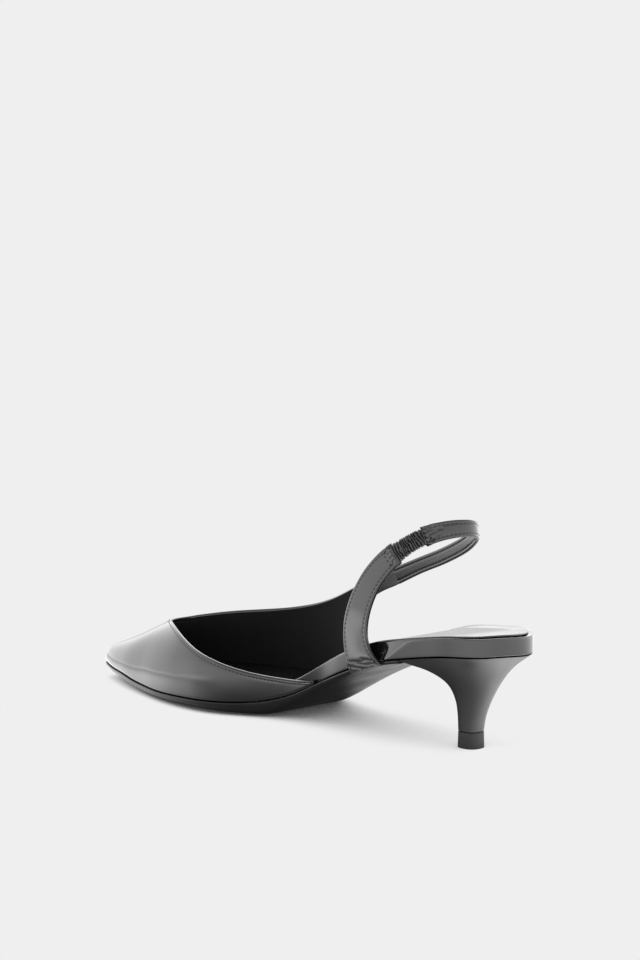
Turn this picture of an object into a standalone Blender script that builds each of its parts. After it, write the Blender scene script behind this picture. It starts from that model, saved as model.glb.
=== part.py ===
"""Slingback pump on a kitten heel, right foot, built from the pieces that a shoemaker joins.

The toe points along -X, the medial side faces -Y and the shoe stands on z = 0.
Sizes are in millimetres until to_world turns them into metres. A station is a distance
forward of the back of the heel, an offset is positive on the lateral side, and a height
is above the floor.
"""

import math
from collections import namedtuple

import bmesh
import bpy
import numpy as np

METRES_PER_MM = 0.001
UP = np.array([0, 0, 1.0])

# Overall sizes
SHOE_LENGTH = 253.0
MID_STATION = 126.5
MID_OFFSET = 2.9
JOIN_GAP = 0.3
SMOOTH_ANGLE = math.radians(40)

# Rounding of the heel seat and of the toe, seen from above
HEEL_ROUND = 26.0
HEEL_SQUARENESS = 2.35
TOE_ROUND = 5.0
TOE_BLUNTNESS = 0.35
TOE_DOME = 8.0

# Upper
UPPER_WALL = 1.6
SECTION_ROUNDNESS = 2.3
THROAT_STATION = 204.5
THROAT_BOW = 2.5
TAIL_STATION = 96.0
QUARTER_STATION = 118.7
QUARTER_LEAN_FROM = 150.0
QUARTER_LEAN = 8.2
TOE_WALL = 2.2
TOE_WALL_FROM = 225.0
LEAST_HALF_WIDTH = 0.3
SIDE_ROWS = 9
THROAT_ROWS = 6
FRONT_RINGS = 15
MEDIAL_COLUMNS = 18
LATERAL_COLUMNS = 13

# Sole, footbed and sock
BREAST_STATION = 39.0
SOLE_STATIONS = 38
FOOTBED_END = 240.0
FOOTBED_BEVEL = 1.0
FOOTBED_STATIONS = 38
FOOTBED_CUP = 1.0
SOCK_START = 1.6
SOCK_END = 232.0
SOCK_THICKNESS = 1.0
SOCK_INSET = 1.2
SOCK_STATIONS = 34
SLAB_COLUMNS = 5
SOCK_COLUMNS = 7
ARC_POINTS = 4
ROUND_STATIONS = 9
END_TRIM = 0.25
TOE_ZONE = 16.0
EDGE_EASE = 0.3
MOST_BEVEL = 0.4

# Heel and top piece
TIP_STATION = 22.2
TIP_HALF_LENGTH = 5.1
TIP_HALF_WIDTH = 4.9
TIP_SQUARENESS = 2.6
TIP_CORNER_ANGLE = math.radians(40)
TOP_PIECE_HEIGHT = 7.0
TOP_PIECE_FLARE = 0.2
HEEL_SIDE_POINTS = 15
HEEL_RINGS = 20
BACK_PROFILE_TO = 6.0
FRONT_PROFILE_FROM = 30.0

# Straps
STRAP_THICKNESS = 1.8
STRAP_EDGE = 0.45
MEDIAL_STRAP_STEPS = 24
SLING_STEPS = 44
GATHER_COUNT = 12
GATHER_STEPS = 4
GATHER_DEPTH = 0.55
GATHER_WIDTH_SHARE = 0.15
ELASTIC_THICKNESS = 2.6
# Square to the slope of the feather edge where the medial strap is lasted under
SEAT_NORMAL = np.array([0.33, 0, 0.94])

# Slices of the last and sole. Medial and lateral are the feather edge's offsets from the axis,
# tread is the underside of the sole, and crest is the top of the instep
Section = namedtuple("Section", "station medial lateral feather tread crest")
SECTIONS = [
    Section(0, 27.0, 28.2, 40.4, 37.6, 132),
    Section(12, 27.0, 28.2, 41.0, 38.2, 130),
    Section(26, 27.3, 28.2, 40.5, 37.7, 127),
    Section(38, 27.8, 28.2, 38.6, 35.8, 123),
    Section(50, 27.8, 28.4, 36.0, 33.2, 119),
    Section(71, 24.6, 28.0, 29.3, 27.3, 109),
    Section(92, 20.8, 27.6, 20.8, 18.2, 96),
    Section(111, 20.8, 29.6, 12.6, 8.2, 84.5),
    Section(122, 22.8, 32.6, 8.8, 2.6, 77.5),
    Section(132, 26.2, 36.2, 6.3, 0, 71),
    Section(144, 32.4, 39.6, 5.2, 0, 63.5),
    Section(157, 35.6, 41.4, 4.9, 0, 56),
    Section(172, 34.8, 40.8, 4.8, 0, 47.5),
    Section(187, 32.0, 37.8, 4.8, 0, 40.2),
    Section(205, 26.6, 31.2, 5.1, 0.4, 33.0),
    Section(213, 24.1, 27.4, 5.4, 1.3, 27.2),
    Section(221, 21.4, 23.0, 5.7, 2.4, 22.8),
    Section(239, 13.8, 11.6, 6.5, 4.2, 15.2),
    Section(247, 9.4, 5.0, 6.8, 5.0, 11.6),
    Section(253, 6.0, -0.4, 7.0, 5.4, 9.4),
]

# How far the rounded underside of the sole draws in and lifts at its edge
SoleEdge = namedtuple("SoleEdge", "station width height")
SOLE_EDGE = [
    SoleEdge(39, 2.0, 1.2),
    SoleEdge(71, 6.0, 2.6),
    SoleEdge(100, 9.0, 4.0),
    SoleEdge(132, 10.0, 4.4),
    SoleEdge(147, 9.0, 3.4),
    SoleEdge(162, 6.0, 2.6),
    SoleEdge(180, 3.0, 2.0),
    SoleEdge(205, 2.0, 1.6),
    SoleEdge(253, 0.8, 0.6),
]

Topline = namedtuple("Topline", "station height")
MEDIAL_TOPLINE = [
    Topline(96, 20.6),
    Topline(104, 19.4),
    Topline(116, 19.0),
    Topline(130, 19.8),
    Topline(139, 21.8),
    Topline(151, 25.4),
    Topline(163, 29.0),
    Topline(178, 32.8),
    Topline(188, 33.7),
    Topline(197, 33.6),
    Topline(205, 32.4),
]
LATERAL_TOPLINE = [
    Topline(88, 67.0),
    Topline(108, 58.6),
    Topline(123, 52.2),
    Topline(138, 46.0),
    Topline(152, 41.4),
    Topline(164, 38.6),
    Topline(176, 36.7),
    Topline(192, 34.8),
    Topline(205, 32.4),
]

# The quarter's rear edge, climbing from the sole into the strap
RearEdge = namedtuple("RearEdge", "low_station low_height top_station")
REAR_EDGE = [
    RearEdge(117.6, 26.4, 107.0),
    RearEdge(115.0, 40.0, 103.5),
    RearEdge(109.7, 48.2, 99.6),
    RearEdge(101.3, 54.0, 95.6),
    RearEdge(88.8, 59.4, 91.4),
]

# The wrapped footbed: its thickness, and how far the upper's wall draws it in
FootbedRow = namedtuple("FootbedRow", "station thickness medial_inset lateral_inset")
FOOTBED = [
    FootbedRow(0, 8.1, 0, 0),
    FootbedRow(50, 8.1, 0, 0),
    FootbedRow(82, 7.6, 0, 0),
    FootbedRow(95, 7.0, 2.1, 0),
    FootbedRow(105, 6.2, 2.1, 0),
    FootbedRow(117, 5.4, 2.1, 2.1),
    FootbedRow(132, 4.2, 2.1, 2.1),
    FootbedRow(157, 3.2, 2.1, 2.1),
    FootbedRow(220, 2.8, 2.3, 2.3),
    FootbedRow(240, 2.3, 3.2, 3.2),
]

# How far each height of the heel has spread from the tip outline to the seat outline
HeelRow = namedtuple("HeelRow", "rise back front width")
HEEL = [
    HeelRow(0, 0, 0, 0),
    HeelRow(0.15, 0.06, 0, 0.01),
    HeelRow(0.31, 0.18, 0, 0.04),
    HeelRow(0.45, 0.32, 0.03, 0.08),
    HeelRow(0.58, 0.45, 0.08, 0.15),
    HeelRow(0.66, 0.53, 0.16, 0.23),
    HeelRow(0.755, 0.62, 0.39, 0.39),
    HeelRow(0.845, 0.73, 0.69, 0.58),
    HeelRow(0.925, 0.86, 0.98, 0.78),
    HeelRow(0.97, 0.94, 1.0, 0.91),
    HeelRow(1.0, 0.985, 1.0, 0.985),
]

# One route for the sling, from the medial edge of the footbed round the back to the lateral quarter.
# Facing turns from the medial side (-90) through the back (0) to the lateral side (90), and seated
# is how far a slice follows the slope of the feather edge instead of lying square to the route
Route = namedtuple("Route", "station offset height width facing lean seated")
SLING_ROUTE = [
    Route(57.0, -29.1, 34.4, 17.8, -90, 0, 1),
    Route(59.6, -29.0, 38.2, 15.8, -90, 0, 1),
    Route(61.4, -28.9, 42.0, 14.6, -90, 1, 0.7),
    Route(62.2, -28.8, 49.6, 13.8, -90, 2, 0),
    Route(59.7, -28.3, 59.6, 12.4, -88, 4, 0),
    Route(54.4, -27.2, 70.2, 11.0, -84, 6, 0),
    Route(47.3, -25.5, 78.7, 10.0, -76, 8, 0),
    Route(42.5, -24.1, 82.8, 9.4, -72, 9, 0),
    Route(37.3, -22.2, 86.7, 8.6, -66, 10, 0),
    Route(31.9, -19.6, 90.0, 8.4, -58, 10, 0),
    Route(26.9, -13.9, 92.4, 8.0, -46, 9, 0),
    Route(23.4, -7.8, 93.3, 7.6, -26, 8, 0),
    Route(22.6, -0.8, 92.8, 7.2, -2, 8, 0),
    Route(25.1, 5.7, 91.2, 7.0, 28, 8, 0),
    Route(31.1, 11.6, 88.0, 7.0, 54, 8, 0),
    Route(43.3, 17.7, 81.7, 7.0, 72, 8, 0),
    Route(60.1, 21.9, 74.5, 7.0, 80, 9, 0),
    Route(75.4, 23.5, 68.6, 7.0, 84, 12, 0),
    Route(90.5, 24.1, 62.3, 7.0, 87, 14, 0),
]
ELASTIC_START_ROW = 7
ELASTIC_END_ROW = 9
ROUTE_TRIM = 0.035

Finish = namedtuple("Finish", "colour roughness")
FINISHES = {
    "black_patent_leather": Finish((0.012, 0.012, 0.013, 1), 0.12),
    "black_sole_leather": Finish((0.010, 0.010, 0.010, 1), 0.35),
    "black_sock_leather": Finish((0.016, 0.016, 0.016, 1), 0.45),
    "black_elastic": Finish((0.020, 0.020, 0.021, 1), 0.40),
    "black_rubber": Finish((0.014, 0.014, 0.014, 1), 0.55),
}


def between(low, high, share):
    return low + (high - low) * share


def ease(value, start, end):
    """0 before start, 1 after end and a soft step between them."""
    share = min(max((value - start) / (end - start), 0), 1)
    return share * share * (3 - 2 * share)


def round_end(distance, radius, squareness=2.0):
    """Share of the full width at a distance from a round end."""
    reach = min(max(distance / radius, 0), 1)
    return (1 - (1 - reach) ** squareness) ** (1 / squareness)


def monotone_curve(stations, values):
    """A smooth curve through the values that never overshoots, so level runs stay level."""
    steps = np.diff(stations)
    rises = np.diff(values) / steps
    slopes = np.concatenate([rises[:1], np.zeros(len(rises) - 1), rises[-1:]])
    for i in range(1, len(rises)):
        before, after = rises[i - 1], rises[i]
        if before * after > 0:
            slopes[i] = 2 * before * after / (before + after)

    def at(station):
        i = min(max(int(np.searchsorted(stations, station)) - 1, 0), len(steps) - 1)
        t = min(max((station - stations[i]) / steps[i], 0), 1)
        ahead = t * t * (3 - 2 * t)
        leaving = t * (1 - t) ** 2 * steps[i] * slopes[i]
        arriving = t * t * (t - 1) * steps[i] * slopes[i + 1]
        return between(values[i], values[i + 1], ahead) + leaving + arriving

    return at


def column(rows, name):
    """The curve of one column of a table over its first column."""
    return monotone_curve([row[0] for row in rows], [getattr(row, name) for row in rows])


medial_edge = column(SECTIONS, "medial")
lateral_edge = column(SECTIONS, "lateral")
feather = column(SECTIONS, "feather")
tread = column(SECTIONS, "tread")
crest = column(SECTIONS, "crest")
medial_topline = column(MEDIAL_TOPLINE, "height")
lateral_topline = column(LATERAL_TOPLINE, "height")


def to_world(station, offset, height):
    x = (MID_STATION - station) * METRES_PER_MM
    y = (offset - MID_OFFSET) * METRES_PER_MM
    return x, y, height * METRES_PER_MM


def plan(station, heel_start=0.0):
    """Centre and half width of the shoe's outline, round at the heel and pointed at the toe."""
    centre = (lateral_edge(station) - medial_edge(station)) / 2
    half = (lateral_edge(station) + medial_edge(station)) / 2
    half *= round_end(station - heel_start, HEEL_ROUND - heel_start, HEEL_SQUARENESS)
    half *= round_end(SHOE_LENGTH - station + TOE_BLUNTNESS, TOE_ROUND)
    return centre, half


def upper_base(station):
    return feather(station) + JOIN_GAP


def last_point(station, angle, inset=0.0):
    """A point on the last: angle 0 is the medial feather edge, pi / 2 the crest, pi the lateral one."""
    centre, half = plan(station)
    power = 2 / SECTION_ROUNDNESS
    across = math.copysign(abs(math.cos(angle)) ** power, math.cos(angle))
    up = max(math.sin(angle), 0) ** power
    base = upper_base(station)
    rise = (crest(station) - inset - base) * round_end(SHOE_LENGTH - station, TOE_DOME)
    shell_half = max(half - inset, LEAST_HALF_WIDTH)
    pull = inset / UPPER_WALL * TOE_WALL * ease(station, TOE_WALL_FROM, SHOE_LENGTH)
    return station - pull, centre - across * shell_half, base + rise * up


def last_angle(station, height):
    """The angle, up from the nearer feather edge, at which the last reaches a height."""
    share = (height - upper_base(station)) / (crest(station) - upper_base(station))
    return math.asin(min(max(share, 0), 1) ** (SECTION_ROUNDNESS / 2))


def upper_layout():
    """The upper as (station, angle) points, and the faces between them."""
    points = []
    faces = []

    def add_line(low, high, rows, bow=0.0):
        first = len(points)
        for share in np.linspace(0, 1, rows + 1):
            station = between(low[0], high[0], share) + bow * share * (1 - share)
            points.append((station, between(low[1], high[1], share)))
        return list(range(first, len(points)))

    def add_strip(line, following):
        for i in range(len(line) - 1):
            faces.append((line[i], line[i + 1], following[i + 1], following[i]))

    medial_corner = last_angle(THROAT_STATION, medial_topline(THROAT_STATION))
    lateral_corner = math.pi - last_angle(THROAT_STATION, lateral_topline(THROAT_STATION))
    rings = []
    for turn in np.linspace(0, math.pi / 2, FRONT_RINGS):
        station = between(THROAT_STATION, SHOE_LENGTH, math.sin(turn))
        ring = add_line((station, 0), (station, medial_corner), SIDE_ROWS)[:-1]
        bow = 4 * THROAT_BOW * (1 - math.sin(turn))
        ring += add_line((station, medial_corner), (station, lateral_corner), THROAT_ROWS, bow)[:-1]
        ring += add_line((station, lateral_corner), (station, math.pi), SIDE_ROWS)
        rings.append(ring)
    for ring, following in zip(rings, rings[1:]):
        add_strip(ring, following)

    line = rings[0][: SIDE_ROWS + 1]
    for station in np.linspace(THROAT_STATION, TAIL_STATION, MEDIAL_COLUMNS)[1:]:
        top = last_angle(station, medial_topline(station))
        following = add_line((station, 0), (station, top), SIDE_ROWS)
        add_strip(line, following)
        line = following

    edges = []
    for station in np.linspace(THROAT_STATION, QUARTER_STATION, LATERAL_COLUMNS)[1:]:
        share = max(QUARTER_LEAN_FROM - station, 0) / (QUARTER_LEAN_FROM - QUARTER_STATION)
        edges.append(RearEdge(station, upper_base(station), station - QUARTER_LEAN * share**2))
    line = rings[0][-SIDE_ROWS - 1 :]
    for edge in edges + REAR_EDGE:
        top = math.pi - last_angle(edge.top_station, lateral_topline(edge.top_station))
        low = math.pi - last_angle(edge.low_station, edge.low_height)
        following = add_line((edge.top_station, top), (edge.low_station, low), SIDE_ROWS)
        add_strip(line, following)
        line = following
    return points, faces


def used_points(points, faces):
    """The points that some face uses, with the faces counted again."""
    used = sorted({i for face in faces for i in face})
    place = {old: new for new, old in enumerate(used)}
    return [points[i] for i in used], [tuple(place[i] for i in face) for face in faces]


def wall(outside, inside, faces):
    """A closed wall between two sheets that share their faces."""
    count = len(outside)
    owners = {}
    for face in faces:
        for i in range(len(face)):
            edge = (face[i], face[(i + 1) % len(face)])
            owners.setdefault(tuple(sorted(edge)), []).append(edge)
    solid = list(faces)
    solid += [tuple(count + i for i in reversed(face)) for face in faces]
    for edges in owners.values():
        if len(edges) == 1:
            start, end = edges[0]
            solid.append((end, start, count + start, count + end))
    return outside + inside, solid


def loft(rings, ends=True):
    """Faces that join rings of equal length, with the two ends closed."""
    size = len(rings[0])
    faces = []
    for ring in range(len(rings) - 1):
        for i in range(size):
            corner = (i + 1) % size
            low, high = ring * size, (ring + 1) * size
            faces.append((low + i, low + corner, high + corner, high + i))
    if ends:
        last = (len(rings) - 1) * size
        faces.append(tuple(range(size)))
        faces.append(tuple(range(last, last + size)))
    return [point for ring in rings for point in ring], faces


def make_material(name):
    finish = FINISHES[name]
    material = bpy.data.materials.new(name)
    material.use_nodes = True
    material.diffuse_color = finish.colour
    shader = material.node_tree.nodes["Principled BSDF"]
    shader.inputs["Base Color"].default_value = finish.colour
    shader.inputs["Roughness"].default_value = finish.roughness
    shader.inputs["Metallic"].default_value = 0
    return material


def make_piece(name, points, faces, material, parent):
    """One closed mesh object, with its faces pointing outwards."""
    mesh = bpy.data.meshes.new(name)
    mesh.from_pydata([to_world(*point) for point in points], [], faces)
    sheet = bmesh.new()
    sheet.from_mesh(mesh)
    bmesh.ops.recalc_face_normals(sheet, faces=sheet.faces)
    if sheet.calc_volume(signed=True) < 0:
        bmesh.ops.reverse_faces(sheet, faces=sheet.faces)
    sheet.to_mesh(mesh)
    sheet.free()
    mesh.shade_smooth()
    mesh.set_sharp_from_angle(angle=SMOOTH_ANGLE)
    mesh.materials.append(material)
    piece = bpy.data.objects.new(name, mesh)
    bpy.context.scene.collection.objects.link(piece)
    piece.parent = parent
    return piece


def stations_along(start, end, middle_count, heel=False, toe=False):
    """Stations from start to end, closer together round the heel and towards the toe."""
    low = start
    high = end
    rows = []
    if heel:
        low = HEEL_ROUND
        for turn in np.linspace(0, math.pi / 2, ROUND_STATIONS, endpoint=False):
            rows.append(low - (low - start - END_TRIM) * math.cos(turn))
    if toe:
        high = end - TOE_ZONE
    rows += list(np.linspace(low, high, middle_count))
    if toe:
        for turn in np.linspace(0, math.pi / 2, ROUND_STATIONS + 1)[1:]:
            rows.append(high + TOE_ZONE * math.sin(turn))
    return rows


def slab_ring(station, centre, half, bottom, top, low_edge, high_edge, cup=0.0):
    """A slice across the sole or the footbed.

    low_edge is the width and height of its rounded lower edges, high_edge the size of its eased
    upper edges, and cup the depth of its hollowed top.
    """
    most = min(half, top - bottom) * MOST_BEVEL
    high = min(high_edge, most)
    low_width = min(low_edge[0], half * MOST_BEVEL)
    low_height = min(low_edge[1], top - bottom - 2 * high)
    ring = []
    for across in np.linspace(-1, 1, SLAB_COLUMNS):
        height = top - cup * (1 - across * across)
        ring.append((station, centre + across * (half - high), height))
    ring.append((station, centre + half, top - high))
    turns = np.linspace(0, math.pi / 2, ARC_POINTS)
    for side in (1, -1):
        edge = []
        for turn in turns:
            offset = centre + side * (half - low_width * (1 - math.cos(turn)))
            edge.append((station, offset, bottom + low_height * (1 - math.sin(turn))))
        if side > 0:
            ring += edge
            for across in np.linspace(1, -1, SLAB_COLUMNS)[1:-1]:
                ring.append((station, centre + across * (half - low_width), bottom))
        else:
            ring += edge[::-1]
    ring.append((station, centre - half, top - high))
    return ring


sole_edge_width = column(SOLE_EDGE, "width")
sole_edge_height = column(SOLE_EDGE, "height")


def outsole():
    rings = []
    for station in stations_along(BREAST_STATION, SHOE_LENGTH, SOLE_STATIONS, toe=True):
        centre, half = plan(station)
        edge = (sole_edge_width(station), sole_edge_height(station))
        rings.append(slab_ring(station, centre, half, tread(station), feather(station), edge, EDGE_EASE))
    return loft(rings)


footbed_thickness = column(FOOTBED, "thickness")
medial_inset = column(FOOTBED, "medial_inset")
lateral_inset = column(FOOTBED, "lateral_inset")


def footbed_slice(station, heel_start=0.0):
    """Centre, half width and height of the footbed, drawn in where the upper wraps it."""
    centre, half = plan(station, heel_start)
    centre += (medial_inset(station) - lateral_inset(station)) / 2
    half -= (medial_inset(station) + lateral_inset(station)) / 2
    return centre, half, upper_base(station) + footbed_thickness(station)


def footbed():
    rings = []
    edge = (EDGE_EASE, EDGE_EASE)
    for station in stations_along(0, FOOTBED_END, FOOTBED_STATIONS, heel=True):
        centre, half, top = footbed_slice(station)
        bottom = upper_base(station)
        rings.append(slab_ring(station, centre, half, bottom, top, edge, FOOTBED_BEVEL, FOOTBED_CUP))
    return loft(rings)


def insole_sock():
    """A thin sheet that follows the footbed's hollow."""
    rings = []
    for station in stations_along(SOCK_START, SOCK_END, SOCK_STATIONS, heel=True):
        centre, half, top = footbed_slice(station, SOCK_START)
        half -= SOCK_INSET
        over = []
        under = []
        for across in np.linspace(-1, 1, SOCK_COLUMNS):
            reach = across * half / (half + SOCK_INSET)
            height = top + JOIN_GAP - FOOTBED_CUP * (1 - reach * reach)
            under.append((station, centre + across * half, height))
            over.append((station, centre + across * half, height + SOCK_THICKNESS))
        rings.append(over + under[::-1])
    return loft(rings)


def upper():
    points, faces = used_points(*upper_layout())
    outside = [last_point(*point) for point in points]
    inside = [last_point(*point, inset=UPPER_WALL) for point in points]
    return wall(outside, inside, faces)


def tip_outline(size=0.0):
    """The D-shaped tip, from its front medial corner round the back to its front lateral corner."""
    points = []
    power = 2 / TIP_SQUARENESS
    for turn in np.linspace(-TIP_CORNER_ANGLE, TIP_CORNER_ANGLE - 2 * math.pi, 2 * HEEL_SIDE_POINTS - 1):
        forward = math.copysign(abs(math.cos(turn)) ** power, math.cos(turn))
        across = math.copysign(abs(math.sin(turn)) ** power, math.sin(turn))
        station = TIP_STATION + forward * (TIP_HALF_LENGTH + size)
        points.append((station, across * (TIP_HALF_WIDTH + size)))
    return points


def seat_outline():
    """The heel seat, in the order of tip_outline."""
    medial = []
    lateral = []
    for turn in np.linspace(0, math.pi / 2, HEEL_SIDE_POINTS):
        station = (BREAST_STATION - JOIN_GAP) * (1 - math.sin(turn))
        centre, half = plan(station)
        medial.append((station, centre - half))
        lateral.append((station, centre + half))
    return medial + lateral[-2::-1]


def heel():
    back = column(HEEL, "back")
    front = column(HEEL, "front")
    width = column(HEEL, "width")
    bottom = TOP_PIECE_HEIGHT + JOIN_GAP
    rings = []
    for rise in np.linspace(0, 1, HEEL_RINGS):
        ring = []
        for (tip_station, tip_offset), (seat_station, seat_offset) in zip(tip_outline(), seat_outline()):
            ahead = ease(seat_station, BACK_PROFILE_TO, FRONT_PROFILE_FROM)
            spread = between(back(rise), front(rise), ahead)
            station = between(tip_station, seat_station, spread)
            offset = between(tip_offset, seat_offset, width(rise))
            ring.append((station, offset, between(bottom, feather(station), rise)))
        rings.append(ring)
    points, faces = loft(rings, ends=False)
    size = len(rings[0])
    for start in (0, (HEEL_RINGS - 1) * size):
        for i in range(HEEL_SIDE_POINTS - 1):
            far = start + size - 1 - i
            corners = (start + i, start + i + 1, far - 1, far)
            faces.append(tuple(dict.fromkeys(corners)))
    return points, faces


def top_piece():
    rings = []
    for height, size in ((0, TOP_PIECE_FLARE), (TOP_PIECE_HEIGHT, 0)):
        rings.append([(station, offset, height) for station, offset in tip_outline(size)])
    return loft(rings)


def smooth_route(first_row, last_row, steps):
    """The sling's route between two rows, read along a smooth curve and trimmed at both ends."""
    table = np.array(SLING_ROUTE, float)
    padded = np.vstack([2 * table[0] - table[1], table, 2 * table[-1] - table[-2]])
    route = []
    for place in np.linspace(first_row + ROUTE_TRIM, last_row - ROUTE_TRIM, steps + 1):
        i = min(int(place), len(table) - 2)
        t = place - i
        before, start, end, after = padded[i : i + 4]
        bend = 2 * before - 5 * start + 4 * end - after
        twist = 3 * start - before - 3 * end + after
        route.append(Route(*(start + ((end - before) * t + bend * t**2 + twist * t**3) / 2)))
    return route


def strap_rings(route, thickness, swell=None):
    """Slices across a strap with eased edges, square to its route."""
    path = np.array([row[:3] for row in route])
    tangents = np.gradient(path, axis=0)
    rings = []
    for i, row in enumerate(route):
        along = between(tangents[i] / np.linalg.norm(tangents[i]), SEAT_NORMAL, row.seated)
        along /= np.linalg.norm(along)
        facing = math.radians(row.facing)
        lean = math.radians(row.lean)
        level = np.array([-math.cos(facing), math.sin(facing), 0])
        out = math.cos(lean) * level + math.sin(lean) * UP
        out -= along * out.dot(along)
        out /= np.linalg.norm(out)
        wide = np.cross(along, out)
        scale = swell(i) if swell else 1.0
        half_width = row.width / 2 * between(1, scale, GATHER_WIDTH_SHARE)
        half_thick = thickness / 2 * scale
        edge = min(STRAP_EDGE, half_thick * MOST_BEVEL)
        ring = []
        for side_out, side_wide in ((1, -1), (1, 1), (-1, 1), (-1, -1)):
            flat = side_out * half_thick * out + side_wide * (half_width - edge) * wide
            side = side_out * (half_thick - edge) * out + side_wide * half_width * wide
            corner = (side, flat) if side_out * side_wide < 0 else (flat, side)
            ring += [tuple(path[i] + corner[0]), tuple(path[i] + corner[1])]
        rings.append(ring)
    return rings


def medial_strap():
    route = smooth_route(0, ELASTIC_START_ROW, MEDIAL_STRAP_STEPS)
    return loft(strap_rings(route, STRAP_THICKNESS))


def elastic_sleeve():
    def swell(i):
        return 1 - GATHER_DEPTH * (1 + math.cos(2 * math.pi * i / GATHER_STEPS)) / 2

    route = smooth_route(ELASTIC_START_ROW, ELASTIC_END_ROW, GATHER_COUNT * GATHER_STEPS)
    return loft(strap_rings(route, ELASTIC_THICKNESS, swell))


def sling_strap():
    route = smooth_route(ELASTIC_END_ROW, len(SLING_ROUTE) - 1, SLING_STEPS)
    return loft(strap_rings(route, UPPER_WALL))


PIECES = [
    (outsole, "black_sole_leather"),
    (footbed, "black_patent_leather"),
    (insole_sock, "black_sock_leather"),
    (upper, "black_patent_leather"),
    (sling_strap, "black_patent_leather"),
    (elastic_sleeve, "black_elastic"),
    (medial_strap, "black_patent_leather"),
    (heel, "black_patent_leather"),
    (top_piece, "black_rubber"),
]


def main():
    for old in list(bpy.data.objects):
        bpy.data.objects.remove(old, do_unlink=True)
    shoe = bpy.data.objects.new("shoe", None)
    bpy.context.scene.collection.objects.link(shoe)
    materials = {name: make_material(name) for name in FINISHES}
    for build, finish in PIECES:
        points, faces = build()
        make_piece(build.__name__, points, faces, materials[finish], shoe)


main()
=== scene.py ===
"""Slingback pump on a kitten heel, right foot, in black patent leather.

Sizes are in millimetres until to_world turns them into metres. A station is a distance
forward of the back of the heel, an offset is positive on the lateral side, and a height
is above the floor.
"""

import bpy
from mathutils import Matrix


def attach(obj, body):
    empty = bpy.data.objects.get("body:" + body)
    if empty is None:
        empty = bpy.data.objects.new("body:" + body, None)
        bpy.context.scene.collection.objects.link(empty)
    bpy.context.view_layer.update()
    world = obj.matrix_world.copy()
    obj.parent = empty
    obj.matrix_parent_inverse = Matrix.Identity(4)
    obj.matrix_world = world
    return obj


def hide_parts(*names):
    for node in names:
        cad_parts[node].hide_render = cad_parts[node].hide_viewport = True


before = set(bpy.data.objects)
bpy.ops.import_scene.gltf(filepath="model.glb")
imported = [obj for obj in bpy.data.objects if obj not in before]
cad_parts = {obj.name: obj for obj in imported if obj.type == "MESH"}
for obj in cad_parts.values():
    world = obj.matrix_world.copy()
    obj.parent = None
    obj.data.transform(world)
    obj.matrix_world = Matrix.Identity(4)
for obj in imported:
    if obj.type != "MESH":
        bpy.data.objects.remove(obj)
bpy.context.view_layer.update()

import math
from collections import namedtuple

import bmesh
import bpy
import numpy as np
from mathutils import Matrix, Vector
from mathutils.kdtree import KDTree

METRES_PER_MM = 0.001
UP = np.array([0, 0, 1.0])

# Overall sizes
SHOE_LENGTH = 253.0
MID_STATION = 126.5
MID_OFFSET = 2.9
JOIN_GAP = 0.3
SMOOTH_ANGLE = math.radians(38)

# Tables are read every half millimetre and eased over a few, so that the lacquer reflects evenly
TABLE_STEP = 0.5
TABLE_EASE = 4.0
# The step at which tracks are read, and the least length where one is divided by
TRACK_STEP = 0.25
TINY = 1e-9

# Rounding of the heel seat and of the toe, seen from above
HEEL_ROUND = 26.0
HEEL_SQUARENESS = 2.35
TOE_ROUND = 5.0
TOE_BLUNTNESS = 0.35
TOE_DOME = 8.0

# Upper
UPPER_WALL = 1.6
SECTION_ROUNDNESS = 2.3
THROAT_STATION = 204.5
THROAT_BOW = 3.2
TAIL_STATION = 96.0
QUARTER_STATION = 118.7
QUARTER_LEAN_FROM = 150.0
QUARTER_LEAN = 8.2
TOE_WALL = 2.2
TOE_WALL_FROM = 225.0
LEAST_HALF_WIDTH = 0.3

# Rows of the upper's mesh, by their distance from the folded edge and from the feather edge
HEM_ROWS = (0, 0.3, 0.6, 0.9, 1.3, 1.7, 2.1, 2.8, 3.6)
FEATHER_ROWS = (0, 0.5, 1.1, 1.7, 2.4, 3.3)
STITCH_ROW = 5
REAR_STITCH_ROW = 3
MIDDLE_ROWS = 9
HEM_SHARE = 0.8
LINE_SAMPLES = 33
THROAT_ROWS = 18
FRONT_RINGS = 26
MEDIAL_COLUMNS = 48
LATERAL_COLUMNS = 40
REAR_STEPS = 6

# The folded edge: a bead, the groove below it and the dip that the stitches pull
BEAD_HEIGHT = 0.1
BEAD_WIDTH = 0.5
GROOVE_DEPTH = 0.14
GROOVE_AT = 0.6
GROOVE_WIDTH = 0.2
STITCH_DIP = 0.08
STITCH_FROM_EDGE = 1.7
STITCH_DIP_WIDTH = 0.35
EDGE_ROLL = 0.4
FEATHER_TUCK = 0.5
FEATHER_TUCK_HEIGHT = 1.0
# The inside of the quarter's tail is lined like the strap that grows from it
STRAP_LINING_TO = 110.0

# Sole, footbed and sock
BREAST_STATION = 39.0
SOLE_STATIONS = 110
FOOTBED_END = 240.0
FOOTBED_CUP = 1.0
SOCK_START = 1.6
SOCK_END = 232.0
SOCK_THICKNESS = 0.5
SOCK_GAP = 0.1
SOCK_INSET = 1.2
SLAB_COLUMNS = 9
ARC_POINTS = 9
TOE_STATIONS = 22
TOE_ZONE = 16.0
EDGE_EASE = 0.35
# The heel seat leans down to its lateral edge: how far, across which offsets it grows and along
# which stations it fades
SEAT_LEAN = 2.4
SEAT_LEAN_ACROSS = (-10.0, 24.0)
SEAT_LEAN_ALONG = (8.0, 52.0)
MOST_BEVEL = 0.4
HALF_OUTLINE_POINTS = 130
OUTLINE_SAMPLES = 900
SOCK_ROUND = 0.45
SOCK_COLUMNS = 13

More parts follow.
